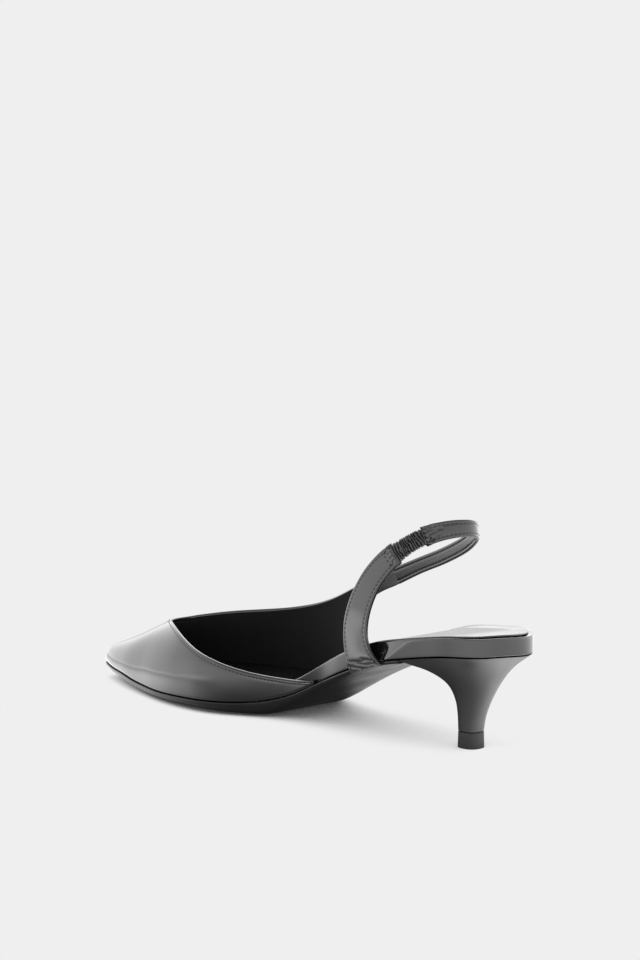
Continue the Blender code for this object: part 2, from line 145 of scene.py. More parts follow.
# The patent band wrapped round the footbed
LEAST_WRAP_HALF = 2.0
WRAP_ROUND = 0.4
WRAP_FOOT_ROUND = 0.3
WRAP_FOOT_LIFT = 0.4
WRAP_LEAN = 0.25
WRAP_LEAN_TO = 75.0
FRONT_LEAN = 0.6
FRONT_LEAN_ALONG = (57.0, 64.0)
WRAP_DEPTH = 5.0
WRAP_SIDE_POINTS = 9

# The dip in the band behind the strap that is tucked under it
DENT_STATION = 54.5
DENT_DEPTH = 2.3
DENT_UNDER = 6.0
DENT_REACH_LOW = 9.0
DENT_REACH_HIGH = 32.0
DENT_FILL = 1.6
DENT_FILL_BEHIND = 7.0
DENT_FILL_WIDTH = 2.0

# Heel and top piece
TIP_STATION = 22.2
TIP_HALF_LENGTH = 5.1
TIP_HALF_WIDTH = 4.9
TIP_SQUARENESS = 2.6
TIP_CORNER_ANGLE = math.radians(40)
TOP_PIECE_HEIGHT = 7.0
TOP_PIECE_FLARE = 0.2
HEEL_SIDE_POINTS = 60
HEEL_RINGS = 72
HEEL_FRONT_POINTS = 14
BREAST_ROUND = 0.5
CORNER_PASSES = 3
MOST_CORNER_SHARE = 0.5
HEEL_EASE = 2.0
BACK_PROFILE_TO = 6.0
FRONT_PROFILE_FROM = 30.0
TOP_PIECE_BEVEL = 0.35
TOP_PIECE_ARC_POINTS = 5

# Straps
STRAP_THICKNESS = 1.8
SLING_THICKNESS = 1.6
ELASTIC_THICKNESS = 2.6
STRAP_ROUND = 0.7
STRAP_STEP = 0.9
ROUTE_SAMPLES = 60
ROUTE_EASE = 2.0
STRAP_ROWS = (0, 0.1, 0.3, 0.6, 0.95, 1.3, 1.6, 1.9, 2.3, 2.9)
STRAP_MIDDLE_ROWS = 8
STRAP_ROWS_SHARE = 0.85
STRAP_STITCH = 1.6
STRAP_CROWN = 0.18
STRAP_TRIM = 0.3
STRAP_FOOT_TRIM = 0.5
STRAP_GROOVE = 0.16
STRAP_GROOVE_WIDTH = 0.3
LIP_LENGTH = 2.4
LIP_FADE = 0.5
LIP_SWELL = 0.3
LIP_ROUND = 0.9
LIP_RUNS = (0, 0.04, 0.12, 0.25, 0.42, 0.65)
LIP_THIN = 0.25
LIP_WIDEN = 0.05
PUCKER = 0.3
PUCKER_LENGTH = 1.5 * LIP_LENGTH
PUCKER_PITCH = 1.9
# Square to the slope of the feather edge where the medial strap is lasted under
SEAT_NORMAL = np.array([0.33, 0, 0.94])

# Creases drawn in the straps: two ends as the distance from the strap's start and from its middle,
# then depth and width. The medial strap is pinched over the footbed's edge, the sling behind its lip
Crease = namedtuple("Crease", "start end depth width")
FOOT_CREASES = [
    Crease((5.0, 5.5), (3.2, -2.0), 0.3, 0.5),
    Crease((4.4, -1.5), (2.2, -7.5), 0.3, 0.6),
    Crease((3.4, 3.0), (1.2, -4.0), 0.3, 0.6),
    Crease((3.0, 7.5), (0.8, 1.5), 0.3, 0.6),
    Crease((1.8, -4.5), (0.6, -8.0), 0.3, 0.5),
]
LIP_CREASES = [
    Crease((3.6, -3.0), (4.6, 3.4), 0.9, 1.4),
    Crease((2.5, 2.2), (8.0, 1.2), 0.35, 0.6),
    Crease((2.5, 0.3), (6.0, 0.6), 0.3, 0.5),
    Crease((2.5, -2.0), (6.5, -1.0), 0.35, 0.6),
]
FOOT_RUN = 10.0
FOOT_STEP = 0.4

# Gathers of the elastic
GATHER_COUNT = 13
GATHER_RINGS = 11
GATHER_DEPTH = 1.0
ELASTIC_TUCK = 0.5
ELASTIC_CROWN = 0.35
ELASTIC_NARROW = 0.9
GATHER_FADE = 0.6
GATHER_SHAPE = {"Lean": 0.05, "Wander": 2.6, "Uneven": 2.2}
GATHER_PLUMPNESS = 0.8
GATHER_SEED = 3.7
GATHER_DRIFT = {"Scale": 0.28, "Detail": 1.0}
GATHER_PATCH = {"Scale": 0.55, "Detail": 2.0}

# Thread
STITCH_SPACING = 1.9
STITCH_LENGTH = 1.4
THREAD_THICKNESS = 0.34
THREAD_LIFT = 0.03
BOX_STITCH_GAP = 1.7
BOX_STITCH_LENGTH = 5.6
BOX_SIDE_POINTS = 9
BOX_STITCH_FROM_LIP = 0.8
STITCH_TRACK_STEP = 1.0
STITCH_END_GAP = 2.0
STITCH_BALL = {"Segments": 8, "Rings": 5, "Radius": 0.5}
STITCH_VARIATION = {"Min": (0.92,) * 3, "Max": (1.06,) * 3, "Seed": 7}

# Slices of the last and sole. Medial and lateral are the feather edge's offsets from the axis,
# tread is the underside of the sole, and crest is the top of the instep
Section = namedtuple("Section", "station medial lateral feather tread crest")
SECTIONS = [
    Section(0, 27.0, 28.2, 41.5, 38.7, 132),
    Section(12, 27.0, 28.2, 42.3, 39.5, 130),
    Section(26, 27.3, 28.2, 40.5, 38.0, 127),
    Section(38, 27.8, 28.2, 38.4, 36.8, 123),
    Section(50, 27.8, 28.4, 36.0, 34.2, 119),
    Section(71, 24.6, 28.0, 29.3, 27.5, 109),
    Section(92, 20.8, 27.6, 20.8, 18.2, 96),
    Section(111, 20.8, 29.6, 12.0, 8.2, 84.5),
    Section(122, 22.8, 32.6, 8.5, 2.6, 77.5),
    Section(132, 26.2, 36.2, 6.5, 0, 71),
    Section(144, 32.4, 39.6, 5.8, 0, 63.5),
    Section(157, 35.6, 41.4, 5.6, 0, 56),
    Section(172, 34.8, 40.8, 5.2, 0, 47.5),
    Section(187, 32.0, 37.8, 4.8, 0, 40.2),
    Section(205, 26.6, 31.2, 5.1, 0.4, 33.0),
    Section(213, 24.1, 27.4, 5.4, 1.3, 29.5),
    Section(221, 21.4, 23.0, 6.3, 2.4, 25.8),
    Section(230, 17.7, 17.4, 6.4, 3.4, 22.1),
    Section(239, 13.8, 11.6, 6.4, 4.2, 18.6),
    Section(247, 9.4, 5.0, 6.8, 5.0, 15.6),
    Section(253, 6.0, -0.4, 7.0, 5.4, 13.4),
]

# How far the rounded underside of the sole draws in and lifts at its edge
SoleEdge = namedtuple("SoleEdge", "station width height")
SOLE_EDGE = [
    SoleEdge(39, 2.0, 1.2),
    SoleEdge(71, 6.0, 2.6),
    SoleEdge(100, 9.0, 4.0),
    SoleEdge(132, 12.0, 5.0),
    SoleEdge(147, 14.0, 4.8),
    SoleEdge(162, 15.0, 4.7),
    SoleEdge(180, 13.0, 4.3),
    SoleEdge(205, 9.0, 3.8),
    SoleEdge(225, 5.0, 2.6),
    SoleEdge(253, 0.8, 0.6),
]

Topline = namedtuple("Topline", "station height")
MEDIAL_TOPLINE = [
    Topline(96, 20.6),
    Topline(104, 19.4),
    Topline(116, 19.0),
    Topline(130, 19.8),
    Topline(139, 21.8),
    Topline(151, 25.4),
    Topline(163, 29.0),
    Topline(178, 32.8),
    Topline(188, 33.7),
    Topline(197, 33.6),
    Topline(205, 32.4),
]
LATERAL_TOPLINE = [
    Topline(88, 67.0),
    Topline(108, 58.6),
    Topline(123, 52.2),
    Topline(138, 46.0),
    Topline(152, 41.4),
    Topline(164, 38.6),
    Topline(176, 36.7),
    Topline(192, 34.8),
    Topline(205, 32.4),
]

# The quarter's rear edge, climbing from the sole into the strap
RearEdge = namedtuple("RearEdge", "low_station low_height top_station")
REAR_EDGE = [
    RearEdge(117.6, 26.4, 107.0),
    RearEdge(115.0, 40.0, 103.5),
    RearEdge(109.7, 48.2, 99.6),
    RearEdge(101.3, 54.0, 95.6),
    RearEdge(88.8, 59.4, 91.4),
]

# The wrapped footbed: its thickness, and how far the upper's wall draws it in
FootbedRow = namedtuple("FootbedRow", "station thickness medial_inset lateral_inset")
FOOTBED = [
    FootbedRow(0, 8.1, 0, 0),
    FootbedRow(50, 8.1, 0, 0),
    FootbedRow(82, 7.6, 0, 0),
    FootbedRow(95, 7.0, 2.1, 0),
    FootbedRow(105, 6.2, 2.1, 0),
    FootbedRow(117, 5.4, 2.1, 2.1),
    FootbedRow(132, 4.2, 2.1, 2.1),
    FootbedRow(157, 3.2, 2.1, 2.1),
    FootbedRow(220, 2.8, 2.3, 2.3),
    FootbedRow(240, 2.3, 3.2, 3.2),
]

# How far each height of the heel has spread from the tip outline to the seat outline
HeelRow = namedtuple("HeelRow", "rise back front width")
HEEL = [
    HeelRow(0, 0, 0, 0),
    HeelRow(0.15, 0.06, 0, 0.01),
    HeelRow(0.31, 0.18, 0, 0.04),
    HeelRow(0.45, 0.32, 0.05, 0.09),
    HeelRow(0.58, 0.45, 0.13, 0.18),
    HeelRow(0.66, 0.53, 0.23, 0.27),
    HeelRow(0.755, 0.62, 0.43, 0.41),
    HeelRow(0.845, 0.73, 0.69, 0.58),
    HeelRow(0.925, 0.86, 0.98, 0.78),
    HeelRow(0.97, 0.94, 1.0, 0.91),
    HeelRow(1.0, 0.985, 1.0, 0.985),
]

# One route for the sling, from the medial edge of the footbed round the back to the lateral quarter.
# Facing turns from the medial side (-90) through the back (0) to the lateral side (90), and seated
# is how far a slice follows the slope of the feather edge instead of lying square to the route
Route = namedtuple("Route", "station offset height width facing lean seated")
SLING_ROUTE = [
    Route(55.4, -28.7, 32.2, 18.8, -90, 0, 1),
    Route(57.0, -29.6, 34.4, 17.6, -90, 0, 1),
    Route(59.6, -29.4, 38.2, 15.8, -90, 0, 1),
    Route(61.4, -29.1, 42.0, 14.6, -90, 1, 0.7),
    Route(62.2, -28.7, 49.6, 13.8, -90, 2, 0),
    Route(59.7, -28.3, 59.6, 12.4, -88, 4, 0),
    Route(54.4, -27.2, 70.2, 11.0, -84, 6, 0),
    Route(47.3, -25.5, 78.7, 10.0, -76, 8, 0),
    Route(42.5, -24.1, 82.8, 9.4, -72, 9, 0),
    Route(37.3, -22.2, 86.7, 8.6, -66, 10, 0),
    Route(31.9, -19.6, 90.0, 8.4, -58, 10, 0),
    Route(26.9, -13.9, 92.4, 8.0, -46, 9, 0),
    Route(23.4, -7.8, 93.3, 7.6, -26, 8, 0),
    Route(22.6, -0.8, 92.8, 7.2, -2, 8, 0),
    Route(25.1, 5.7, 91.2, 7.0, 28, 8, 0),
    Route(31.1, 11.6, 88.0, 7.0, 54, 8, 0),
    Route(43.3, 17.7, 81.7, 7.0, 72, 8, 0),
    Route(60.1, 21.9, 74.5, 7.0, 80, 9, 0),
    Route(75.4, 23.5, 68.6, 7.0, 84, 12, 0),
    Route(90.5, 24.1, 62.1, 7.7, 87, 14, 0),
]
ELASTIC_START_ROW = 8
ELASTIC_END_ROW = 10

# Camera: the photograph's frame, with the heel's tip at a known pixel of it
IMAGE_SIZE = (640, 960)
FOCAL_PIXELS = 3268
SENSOR_HEIGHT = 36
CAMERA_AZIMUTH = math.radians(46)
CAMERA_ELEVATION = math.radians(7.4)
CAMERA_DISTANCE = 1.3715
TIP_PIXEL = (471, 747)

# Kinds of node that are added often
MATH = "ShaderNodeMath"
VECTOR_MATH = "ShaderNodeVectorMath"
MAP_RANGE = "ShaderNodeMapRange"
NOISE = "ShaderNodeTexNoise"
VORONOI = "ShaderNodeTexVoronoi"

# Places of a piece's materials: its outer leather, its lining, and the strap's lining in the tail
OUTER, LINED, STRAP_LINED = 0, 1, 2

# What materials are made of. A texture has the width of its features and a relief the depth that it is
# raised by, in millimetres. A gloss goes from start to end as its source goes from low to high
Texture = namedtuple("Texture", "kind width inputs settings", defaults=({},))
Relief = namedtuple("Relief", "texture strength depth")
Gloss = namedtuple("Gloss", "source low high start end")
PATCH_SPAN = (0.3, 0.7)
PORES = {"feature": "SMOOTH_F1"}
HOLLOWS = "Pointiness"
WHITE = (1, 1, 1, 1)

# The floor glows with no lamp: its glowing tone where no painted shadow falls, and how the painted shadow
# under the shoe follows the share of open sky, as the camera sees it and as the gloss of the shoe sees it
PAPER_TONE = 0.863
PAPER_FIBRE = 0.003
PAPER_FIBRE_WIDTH = 3
SHADE_REACH = 0.11
SHADE_SAMPLES = 16
Shade = namedtuple("Shade", "closed opened darkest bend")
SEEN_SHADE = Shade(0.1, 0.54, 0.05, 0.5)
GLOSS_SHADE = Shade(0.15, 0.75, 0.04, 1.2)

# Painted glow patches on the paper out of the frame and painted shade under the waist and the arch, which
# only the gloss sees: middle and reach in metres
PaintedPatch = namedtuple("PaintedPatch", "name centre reach brightness")
PAINTED_PATCHES = [
    PaintedPatch("medial_painted_glow", (-0.22, -0.29, 0), 0.19, 1.6),
    PaintedPatch("toe_painted_glow", (-0.14, -0.05, 0), 0.15, 2.4),
    PaintedPatch("far_toe_painted_glow", (-0.37, -0.1, 0), 0.27, 1.1),
    PaintedPatch("heel_painted_glow", (0.15, 0.03, 0), 0.09, 2.6),
    PaintedPatch("far_heel_painted_glow", (0.25, -0.05, 0), 0.3, 1.3),
    PaintedPatch("band_painted_glow", (0.02, -0.2, 0), 0.14, 0.7),
    PaintedPatch("waist_shade", (0.0, -0.055, 0), 0.08, -0.6),
    PaintedPatch("arch_shade", (0.072, -0.008, 0), 0.08, -0.95),
]
# Painted glow that only the gloss sees, growing on the paper away from the shoe
FAR_PAPER = 1.7
FAR_PAPER_FROM = 0.08
FAR_PAPER_TO = 0.36
SHOE_SLIMNESS = (0.62, 1.0, 1.0)

# The sides of the room that are duller and brighter near the horizon, with the cosines where each fades
Side = namedtuple("Side", "towards start end")
BACK_WALL = Side((-0.69, 0.72, 0), 0.85, 0.995)
WINDOW = Side((-0.57, -0.82, 0), 0.75, 0.98)
WINDOW_GAIN = 0.22

# The floor's half width in metres and the backdrop that the camera sees
FLOOR_HALF = 25.0
BACKDROP = "#EFEFEF"

# Brightness of the studio at the horizon and overhead, and the top light that the gloss doesn't see
ROOM_LOW = 2.5
ROOM_HIGH = 1.2
ROOM_TURN = 0.75
BACK_WALL_DULL = 0.6
LOW_FROM = 0.16
LOW_TO = -0.02
SOFTBOX = Side((-0.5, 0.52, 0.69), 0.9, 0.98)
SOFTBOX_LIGHT = 5.0
TOP_LIGHT = 1.6
TOP_LIGHT_ANGLE = math.radians(60)
TOP_LIGHT_FROM = Vector((-0.15, 0.1, 1.0))


def between(low, high, share):
    return low + (high - low) * share


def ease(value, start, end):
    """0 before start, 1 after end and a soft step between them."""
    share = np.clip((value - start) / (end - start), 0, 1)
    return share * share * (3 - 2 * share)


def even_ease(value, start, end):
    """Like ease, but with its bend eased at both ends as well, so that a gloss shows no line there."""
    share = np.clip((value - start) / (end - start), 0, 1)
    return share**3 * (10 - 15 * share + 6 * share**2)


def bump(value, middle, width):
    """A soft ridge, 1 high at its middle."""
    return np.exp(-(((value - middle) / width) ** 2))


def round_end(distance, radius, squareness=2.0):
    """Share of the full width at a distance from a round end."""
    reach = min(max(distance / radius, 0), 1)
    return (1 - (1 - reach) ** squareness) ** (1 / squareness)


def eased_rows(values, width):
    """Rows blurred over a width that is counted in rows, with both ends held in place."""
    reach = min(int(3 * width) + 1, len(values) - 1)
    weights = np.exp(-0.5 * (np.arange(-reach, reach + 1) / width) ** 2)
    weights /= weights.sum()
    before = 2 * values[0] - values[reach:0:-1]
    after = 2 * values[-1] - values[-2 : -reach - 2 : -1]
    padded = np.concatenate([before, values, after])
    return np.apply_along_axis(np.convolve, 0, padded, weights, "valid")


def monotone_curve(stations, values):
    """A smooth curve through the values that never overshoots, so level runs stay level."""
    steps = np.diff(stations)
    rises = np.diff(values) / steps
    slopes = np.concatenate([rises[:1], np.zeros(len(rises) - 1), rises[-1:]])
    for i in range(1, len(rises)):
        before, after = rises[i - 1], rises[i]
        if before * after > 0:
            slopes[i] = 2 * before * after / (before + after)

    def at(station):
        i = min(max(int(np.searchsorted(stations, station)) - 1, 0), len(steps) - 1)
        t = min(max((station - stations[i]) / steps[i], 0), 1)
        ahead = t * t * (3 - 2 * t)
        leaving = t * (1 - t) ** 2 * steps[i] * slopes[i]
        arriving = t * t * (t - 1) * steps[i] * slopes[i + 1]
        return between(values[i], values[i + 1], ahead) + leaving + arriving

    return at


def column(rows, name):
    """The curve of one column of a table over its first column."""
    return monotone_curve([row[0] for row in rows], [getattr(row, name) for row in rows])


def eased_column(rows, name):
    """A column of a table over the stations, with its changes of bend eased."""
    curve = column(rows, name)
    stations = np.arange(rows[0].station, rows[-1].station + TABLE_STEP / 2, TABLE_STEP)
    values = eased_rows(np.array([curve(station) for station in stations]), TABLE_EASE / TABLE_STEP)
    return lambda station: float(np.interp(station, stations, values))


def eased_columns(rows):
    """Every column of a table after its stations, eased."""
    return [eased_column(rows, name) for name in rows[0]._fields[1:]]


medial_edge, lateral_edge, feather, tread, crest = eased_columns(SECTIONS)
(medial_topline,) = eased_columns(MEDIAL_TOPLINE)
(lateral_topline,) = eased_columns(LATERAL_TOPLINE)
sole_edge_width, sole_edge_height = eased_columns(SOLE_EDGE)
footbed_thickness, medial_inset, lateral_inset = eased_columns(FOOTBED)


def to_world(station, offset, height):
    x = (MID_STATION - station) * METRES_PER_MM
    y = (offset - MID_OFFSET) * METRES_PER_MM
    return x, y, height * METRES_PER_MM


def plan(station, heel_start=0.0):
    """Centre and half width of the shoe's outline, round at the heel and pointed at the toe."""
    centre = (lateral_edge(station) - medial_edge(station)) / 2
    half = (lateral_edge(station) + medial_edge(station)) / 2
    half *= round_end(station - heel_start, HEEL_ROUND - heel_start, HEEL_SQUARENESS)
    half *= round_end(SHOE_LENGTH - station + TOE_BLUNTNESS, TOE_ROUND)
    return centre, half


def upper_base(station):
    return feather(station) + JOIN_GAP


def seat_drop(station, offset):
    """How far the heel seat leans down towards its lateral edge."""
    return float(SEAT_LEAN * ease(offset, *SEAT_LEAN_ACROSS) * (1 - ease(station, *SEAT_LEAN_ALONG)))


def last_point(station, angle, inset=0.0):
    """A point on the last: angle 0 is the medial feather edge, pi / 2 the crest, pi the lateral one."""
    centre, half = plan(station)
    power = 2 / SECTION_ROUNDNESS
    across = math.copysign(abs(math.cos(angle)) ** power, math.cos(angle))
    up = max(math.sin(angle), 0) ** power
    base = upper_base(station)
    rise = (crest(station) - inset - base) * round_end(SHOE_LENGTH - station, TOE_DOME)
    shell_half = max(half - inset, LEAST_HALF_WIDTH)
    pull = inset / UPPER_WALL * TOE_WALL * ease(station, TOE_WALL_FROM, SHOE_LENGTH)
    return station - pull, centre - across * shell_half, base + rise * up


def last_angle(station, height):
    """The angle, up from the nearer feather edge, at which the last reaches a height."""
    share = (height - upper_base(station)) / (crest(station) - upper_base(station))
    return math.asin(min(max(share, 0), 1) ** (SECTION_ROUNDNESS / 2))


def run_length(track):
    """Distance along a track of points, starting from 0."""
    return np.concatenate([[0], np.cumsum(np.linalg.norm(np.diff(track, axis=0), axis=1))])


def along_track(track, run, places):
    """The rows of a track at some distances along it."""
    return np.stack([np.interp(places, run, values) for values in track.T], axis=1)


def spline(table, steps):
    """Rows of a smooth curve through the rows of a table, with some steps from each row to the next."""
    padded = np.vstack([2 * table[0] - table[1], table, 2 * table[-1] - table[-2]])
    rows = []
    for i in range(len(table) - 1):
        before, start, end, after = padded[i : i + 4]
        bend = 2 * before - 5 * start + 4 * end - after
        twist = 3 * start - before - 3 * end + after
        for t in np.linspace(0, 1, steps, endpoint=False):
            rows.append(start + ((end - before) * t + bend * t**2 + twist * t**3) / 2)
    return np.array(rows + [table[-1]])


def hem_line(low, high):
    """Places on the last from a low edge up to a folded edge, close together at both."""
    shares = np.linspace(0, 1, LINE_SAMPLES)
    places = [between(np.array(low), np.array(high), share) for share in shares]
    run = run_length(np.array([last_point(*place) for place in places]))
    squeeze = min(1, HEM_SHARE * run[-1] / (HEM_ROWS[-1] + FEATHER_ROWS[-1]))
    low_rows = squeeze * np.array(FEATHER_ROWS)
    high_rows = run[-1] - squeeze * np.array(HEM_ROWS[::-1])
    middle_rows = np.linspace(low_rows[-1], high_rows[0], MIDDLE_ROWS + 2)[1:-1]
    rows = np.concatenate([low_rows, middle_rows, high_rows])
    return [tuple(between(np.array(low), np.array(high), share)) for share in np.interp(rows, run, shares)]


def rear_edges():
    """The quarter's lines from its topline down to the sole, then to its climbing rear edge."""
    edges = []
    for station in np.linspace(THROAT_STATION, QUARTER_STATION, LATERAL_COLUMNS)[1:]:
        share = max(QUARTER_LEAN_FROM - station, 0) / (QUARTER_LEAN_FROM - QUARTER_STATION)
        edges.append(RearEdge(station, upper_base(station), station - QUARTER_LEAN * share**2))
    climb = spline(np.array([edges[-1]] + REAR_EDGE), REAR_STEPS)[1:]
    return edges, [RearEdge(*row) for row in climb]


def upper_layout():
    """The upper as places on the last with the faces between them, its free edge and its stitch rows."""
    places = []
    faces = []

    def add(line):
        places.extend(line)
        return list(range(len(places) - len(line), len(places)))

    def join(line, following):
        for i in range(len(line) - 1):
            faces.append((line[i], line[i + 1], following[i + 1], following[i]))

    medial_corner = last_angle(THROAT_STATION, medial_topline(THROAT_STATION))
    lateral_corner = math.pi - last_angle(THROAT_STATION, lateral_topline(THROAT_STATION))
    depth = SHOE_LENGTH - THROAT_STATION
    shares = [row / depth for row in HEM_ROWS]
    turns = np.linspace(math.asin(shares[-1]), math.pi / 2, FRONT_RINGS)
    shares += [math.sin(turn) for turn in turns[1:]]
    rings = []
    for share in shares:
        station = between(THROAT_STATION, SHOE_LENGTH, share)
        bow = THROAT_BOW * (1 - share)
        ring = hem_line((station, 0), (station, medial_corner))[:-1]
        for across in np.linspace(0, 1, THROAT_ROWS + 1)[:-1]:
            angle = between(medial_corner, lateral_corner, across)
            ring.append((station + bow * (1 - abs(2 * across - 1) ** 3), angle))
        ring += hem_line((station, math.pi), (station, lateral_corner))[::-1]
        rings.append(add(ring))
    for ring, following in zip(rings, rings[1:]):
        join(ring, following)

    rows = len(FEATHER_ROWS) + MIDDLE_ROWS + len(HEM_ROWS)
    corner = rows - 1
    far_corner = corner + THROAT_ROWS
    line = rings[0][:rows]
    medial_lines = []
    for station in np.linspace(THROAT_STATION, TAIL_STATION, MEDIAL_COLUMNS)[1:]:
        top = last_angle(station, medial_topline(station))
        following = add(hem_line((station, 0), (station, top)))
        join(line, following)
        medial_lines.append(following)
        line = following

    sides, climb = rear_edges()
    line = rings[0][far_corner:]
    lateral_lines = []
    for edge in sides + climb:
        top = math.pi - last_angle(edge.top_station, lateral_topline(edge.top_station))
        low = math.pi - last_angle(edge.low_station, edge.low_height)
        following = add(hem_line((edge.low_station, low), (edge.top_station, top))[::-1])
        join(line, following)
        lateral_lines.append(following)
        line = following

    rear_lines = lateral_lines[-len(climb) :]
    free_edge = [line[-1] for line in medial_lines[::-1]] + rings[0][corner : far_corner + 1]
    free_edge += [line[0] for line in lateral_lines] + lateral_lines[-1]
    free_edge += [line[-1] for line in rear_lines[::-1]]
    near = rows - 1 - STITCH_ROW
    far = far_corner + STITCH_ROW
    top_stitch = [line[near] for line in medial_lines[::-1]]
    top_stitch += [rings[i][near] for i in range(STITCH_ROW)] + rings[STITCH_ROW][near : far + 1]
    top_stitch += [rings[i][far] for i in reversed(range(STITCH_ROW))]
    top_stitch += [line[STITCH_ROW] for line in lateral_lines]
    rear_stitch = [line[rows - 1 - REAR_STITCH_ROW] for line in rear_lines]
    return places, faces, free_edge, [top_stitch, rear_stitch]


def sheet_normals(points, faces, inside):
    """The direction out of a sheet at each of its points."""
    normals = np.zeros_like(points)
    for face in faces:
        a, b, c, d = points[list(face)]
        normals[list(face)] += np.cross(c - a, d - b)
    normals *= np.sign(np.einsum("ij,ij->i", normals, points - inside))[:, None]
    return normals / np.maximum(np.linalg.norm(normals, axis=1), TINY)[:, None]


def edge_relief(distance):
    """Height of the folded edge: its bead, the groove below it and the pull of the stitches."""
    bead = BEAD_HEIGHT * (1 - ease(distance, BEAD_WIDTH / 2, BEAD_WIDTH))
    groove = GROOVE_DEPTH * bump(distance, GROOVE_AT, GROOVE_WIDTH)
    pull = STITCH_DIP * bump(distance, STITCH_FROM_EDGE, STITCH_DIP_WIDTH)
    return bead - groove - pull


def nearest_distance(points, track):
    """Distance from each point to the nearest place on a track."""
    track = np.array(track)
    run = run_length(track)
    steps = np.arange(0, run[-1], TRACK_STEP)
    fine = along_track(track, run, steps)
    tree = KDTree(len(fine))
    for i, point in enumerate(fine):
        tree.insert(point, i)
    tree.balance()
    return np.array([tree.find(point)[2] for point in points])


def upper():
    """The patent shell with its linings: points, faces, the finish of each face, and the stitch rows."""
    places, faces, free_edge, stitch_rows = upper_layout()
    points = np.array([last_point(*place) for place in places])
    inside = np.array([last_point(*place, inset=UPPER_WALL) for place in places])
    normals = sheet_normals(points, faces, inside)
    relief = edge_relief(nearest_distance(points, points[free_edge]))
    rise = points[:, 2] - np.array([upper_base(place[0]) for place in places])
    relief -= FEATHER_TUCK * (1 - ease(rise, 0, FEATHER_TUCK_HEIGHT))
    outside = points + normals * relief[:, None]
    paths = [outside[row] + normals[row] * THREAD_LIFT for row in stitch_rows]
    shell, solid = wall(outside, inside, faces, free_edge)
    finish = []
    for i, face in enumerate(solid):
        stations = [shell[corner][0] for corner in face]
        lined = len(faces) <= i < 2 * len(faces)
        in_tail = max(stations) < STRAP_LINING_TO and shell[face[0]][1] > 0
        finish.append((STRAP_LINED if in_tail else LINED) if lined else OUTER)
    return shell, solid, finish, paths


def wall(outside, inside, faces, rolled_edge):
    """A closed wall between two sheets that share their faces, rolled over at one of its edges."""
    count = len(outside)
    owners = {}
    beside = {corner: set() for corner in rolled_edge}
    for face in faces:
        for i in range(len(face)):
            edge = (face[i], face[(i + 1) % len(face)])
            owners.setdefault(tuple(sorted(edge)), []).append(edge)
            for corner, other in (edge, edge[::-1]):
                if corner in beside:
                    beside[corner].add(other)
    rolled = {}
    fold = []
    for corner, others in beside.items():
        within = others - beside.keys() or others
        away = outside[corner] - np.mean(outside[list(within)], axis=0)
        away /= np.linalg.norm(away)
        rolled[corner] = 2 * count + len(fold)
        fold.append((outside[corner] + inside[corner]) / 2 + away * EDGE_ROLL)
    solid = list(faces)
    solid += [tuple(count + i for i in reversed(face)) for face in faces]
    for edges in owners.values():
        if len(edges) > 1:
            continue
        start, end = edges[0]
        if start in rolled and end in rolled:
            solid.append((end, start, rolled[start], rolled[end]))
            solid.append((rolled[end], rolled[start], count + start, count + end))
        else:
            ring = [end, start, rolled.get(start), count + start, count + end, rolled.get(end)]
            solid.append(tuple(corner for corner in ring if corner is not None))
    return [tuple(point) for point in (*outside, *inside, *fold)], solid


def loft(rings):
    """Faces that join rings of equal length, with the two ends closed."""
    size = len(rings[0])
    last = (len(rings) - 1) * size
    faces = []
    for low in range(0, last, size):
        high = low + size
        for i in range(size):
            corner = (i + 1) % size
            faces.append((low + i, low + corner, high + corner, high + i))
    faces += [tuple(range(size)), tuple(range(last, last + size))]
    return [tuple(point) for ring in rings for point in ring], faces


def add_object(name, data):
    made = bpy.data.objects.new(name, data)
    bpy.context.scene.collection.objects.link(made)
    return made


def make_piece(name, points, faces, materials, finish=None, smooth_angle=SMOOTH_ANGLE):
    """One mesh object in metres, with its faces pointing outwards."""
    mesh = bpy.data.meshes.new(name)
    mesh.from_pydata([to_world(*point) for point in points], [], faces)
    for material in materials:
        mesh.materials.append(material)
    if finish:
        mesh.polygons.foreach_set("material_index", finish)
    sheet = bmesh.new()
    sheet.from_mesh(mesh)
    bmesh.ops.recalc_face_normals(sheet, faces=sheet.faces)
    if sheet.calc_volume(signed=True) < 0:
        bmesh.ops.reverse_faces(sheet, faces=sheet.faces)
    sheet.to_mesh(mesh)
    sheet.free()
    mesh.shade_smooth()
    mesh.set_sharp_from_angle(angle=smooth_angle)
    return add_object(name, mesh)


def edge_arc(radius, count=ARC_POINTS):
    """A quarter round from an edge up to its face: distances in from the side and off the face."""
    turns = np.linspace(0, math.pi / 2, count)
    return [(radius * (1 - math.cos(turn)), radius * (1 - math.sin(turn))) for turn in turns]


def outsole():
    """The sole from the breast of the heel to the toe, with its underside rounded at the edges."""
    high = SHOE_LENGTH - TOE_ZONE
    stations = list(np.linspace(BREAST_STATION, high, SOLE_STATIONS))
    stations += [high + TOE_ZONE * math.sin(turn) for turn in np.linspace(0, math.pi / 2, TOE_STATIONS)[1:]]
    rings = []
    for station in stations:
        centre, half = plan(station)
        bottom, top = tread(station), feather(station)
        high_ease = min(EDGE_EASE, min(half, top - bottom) * MOST_BEVEL)
        low_width = min(sole_edge_width(station), half * MOST_BEVEL)
        low_height = min(sole_edge_height(station), top - bottom - 2 * high_ease)
        side = [(across * (half - high_ease), top) for across in np.linspace(0, 1, SLAB_COLUMNS)]
        side += [(half - inward, top - drop) for inward, drop in edge_arc(high_ease)[-2::-1]]
        side += [(half - low_width * inward, bottom + low_height * rise) for inward, rise in edge_arc(1)]
        side += [(across * (half - low_width), bottom) for across in np.linspace(1, 0, SLAB_COLUMNS)[1:]]
        ring = [(station, centre + offset, height) for offset, height in side]
        ring += [(station, centre - offset, height) for offset, height in side[-2:0:-1]]
        rings.append(ring)
    return loft(rings)


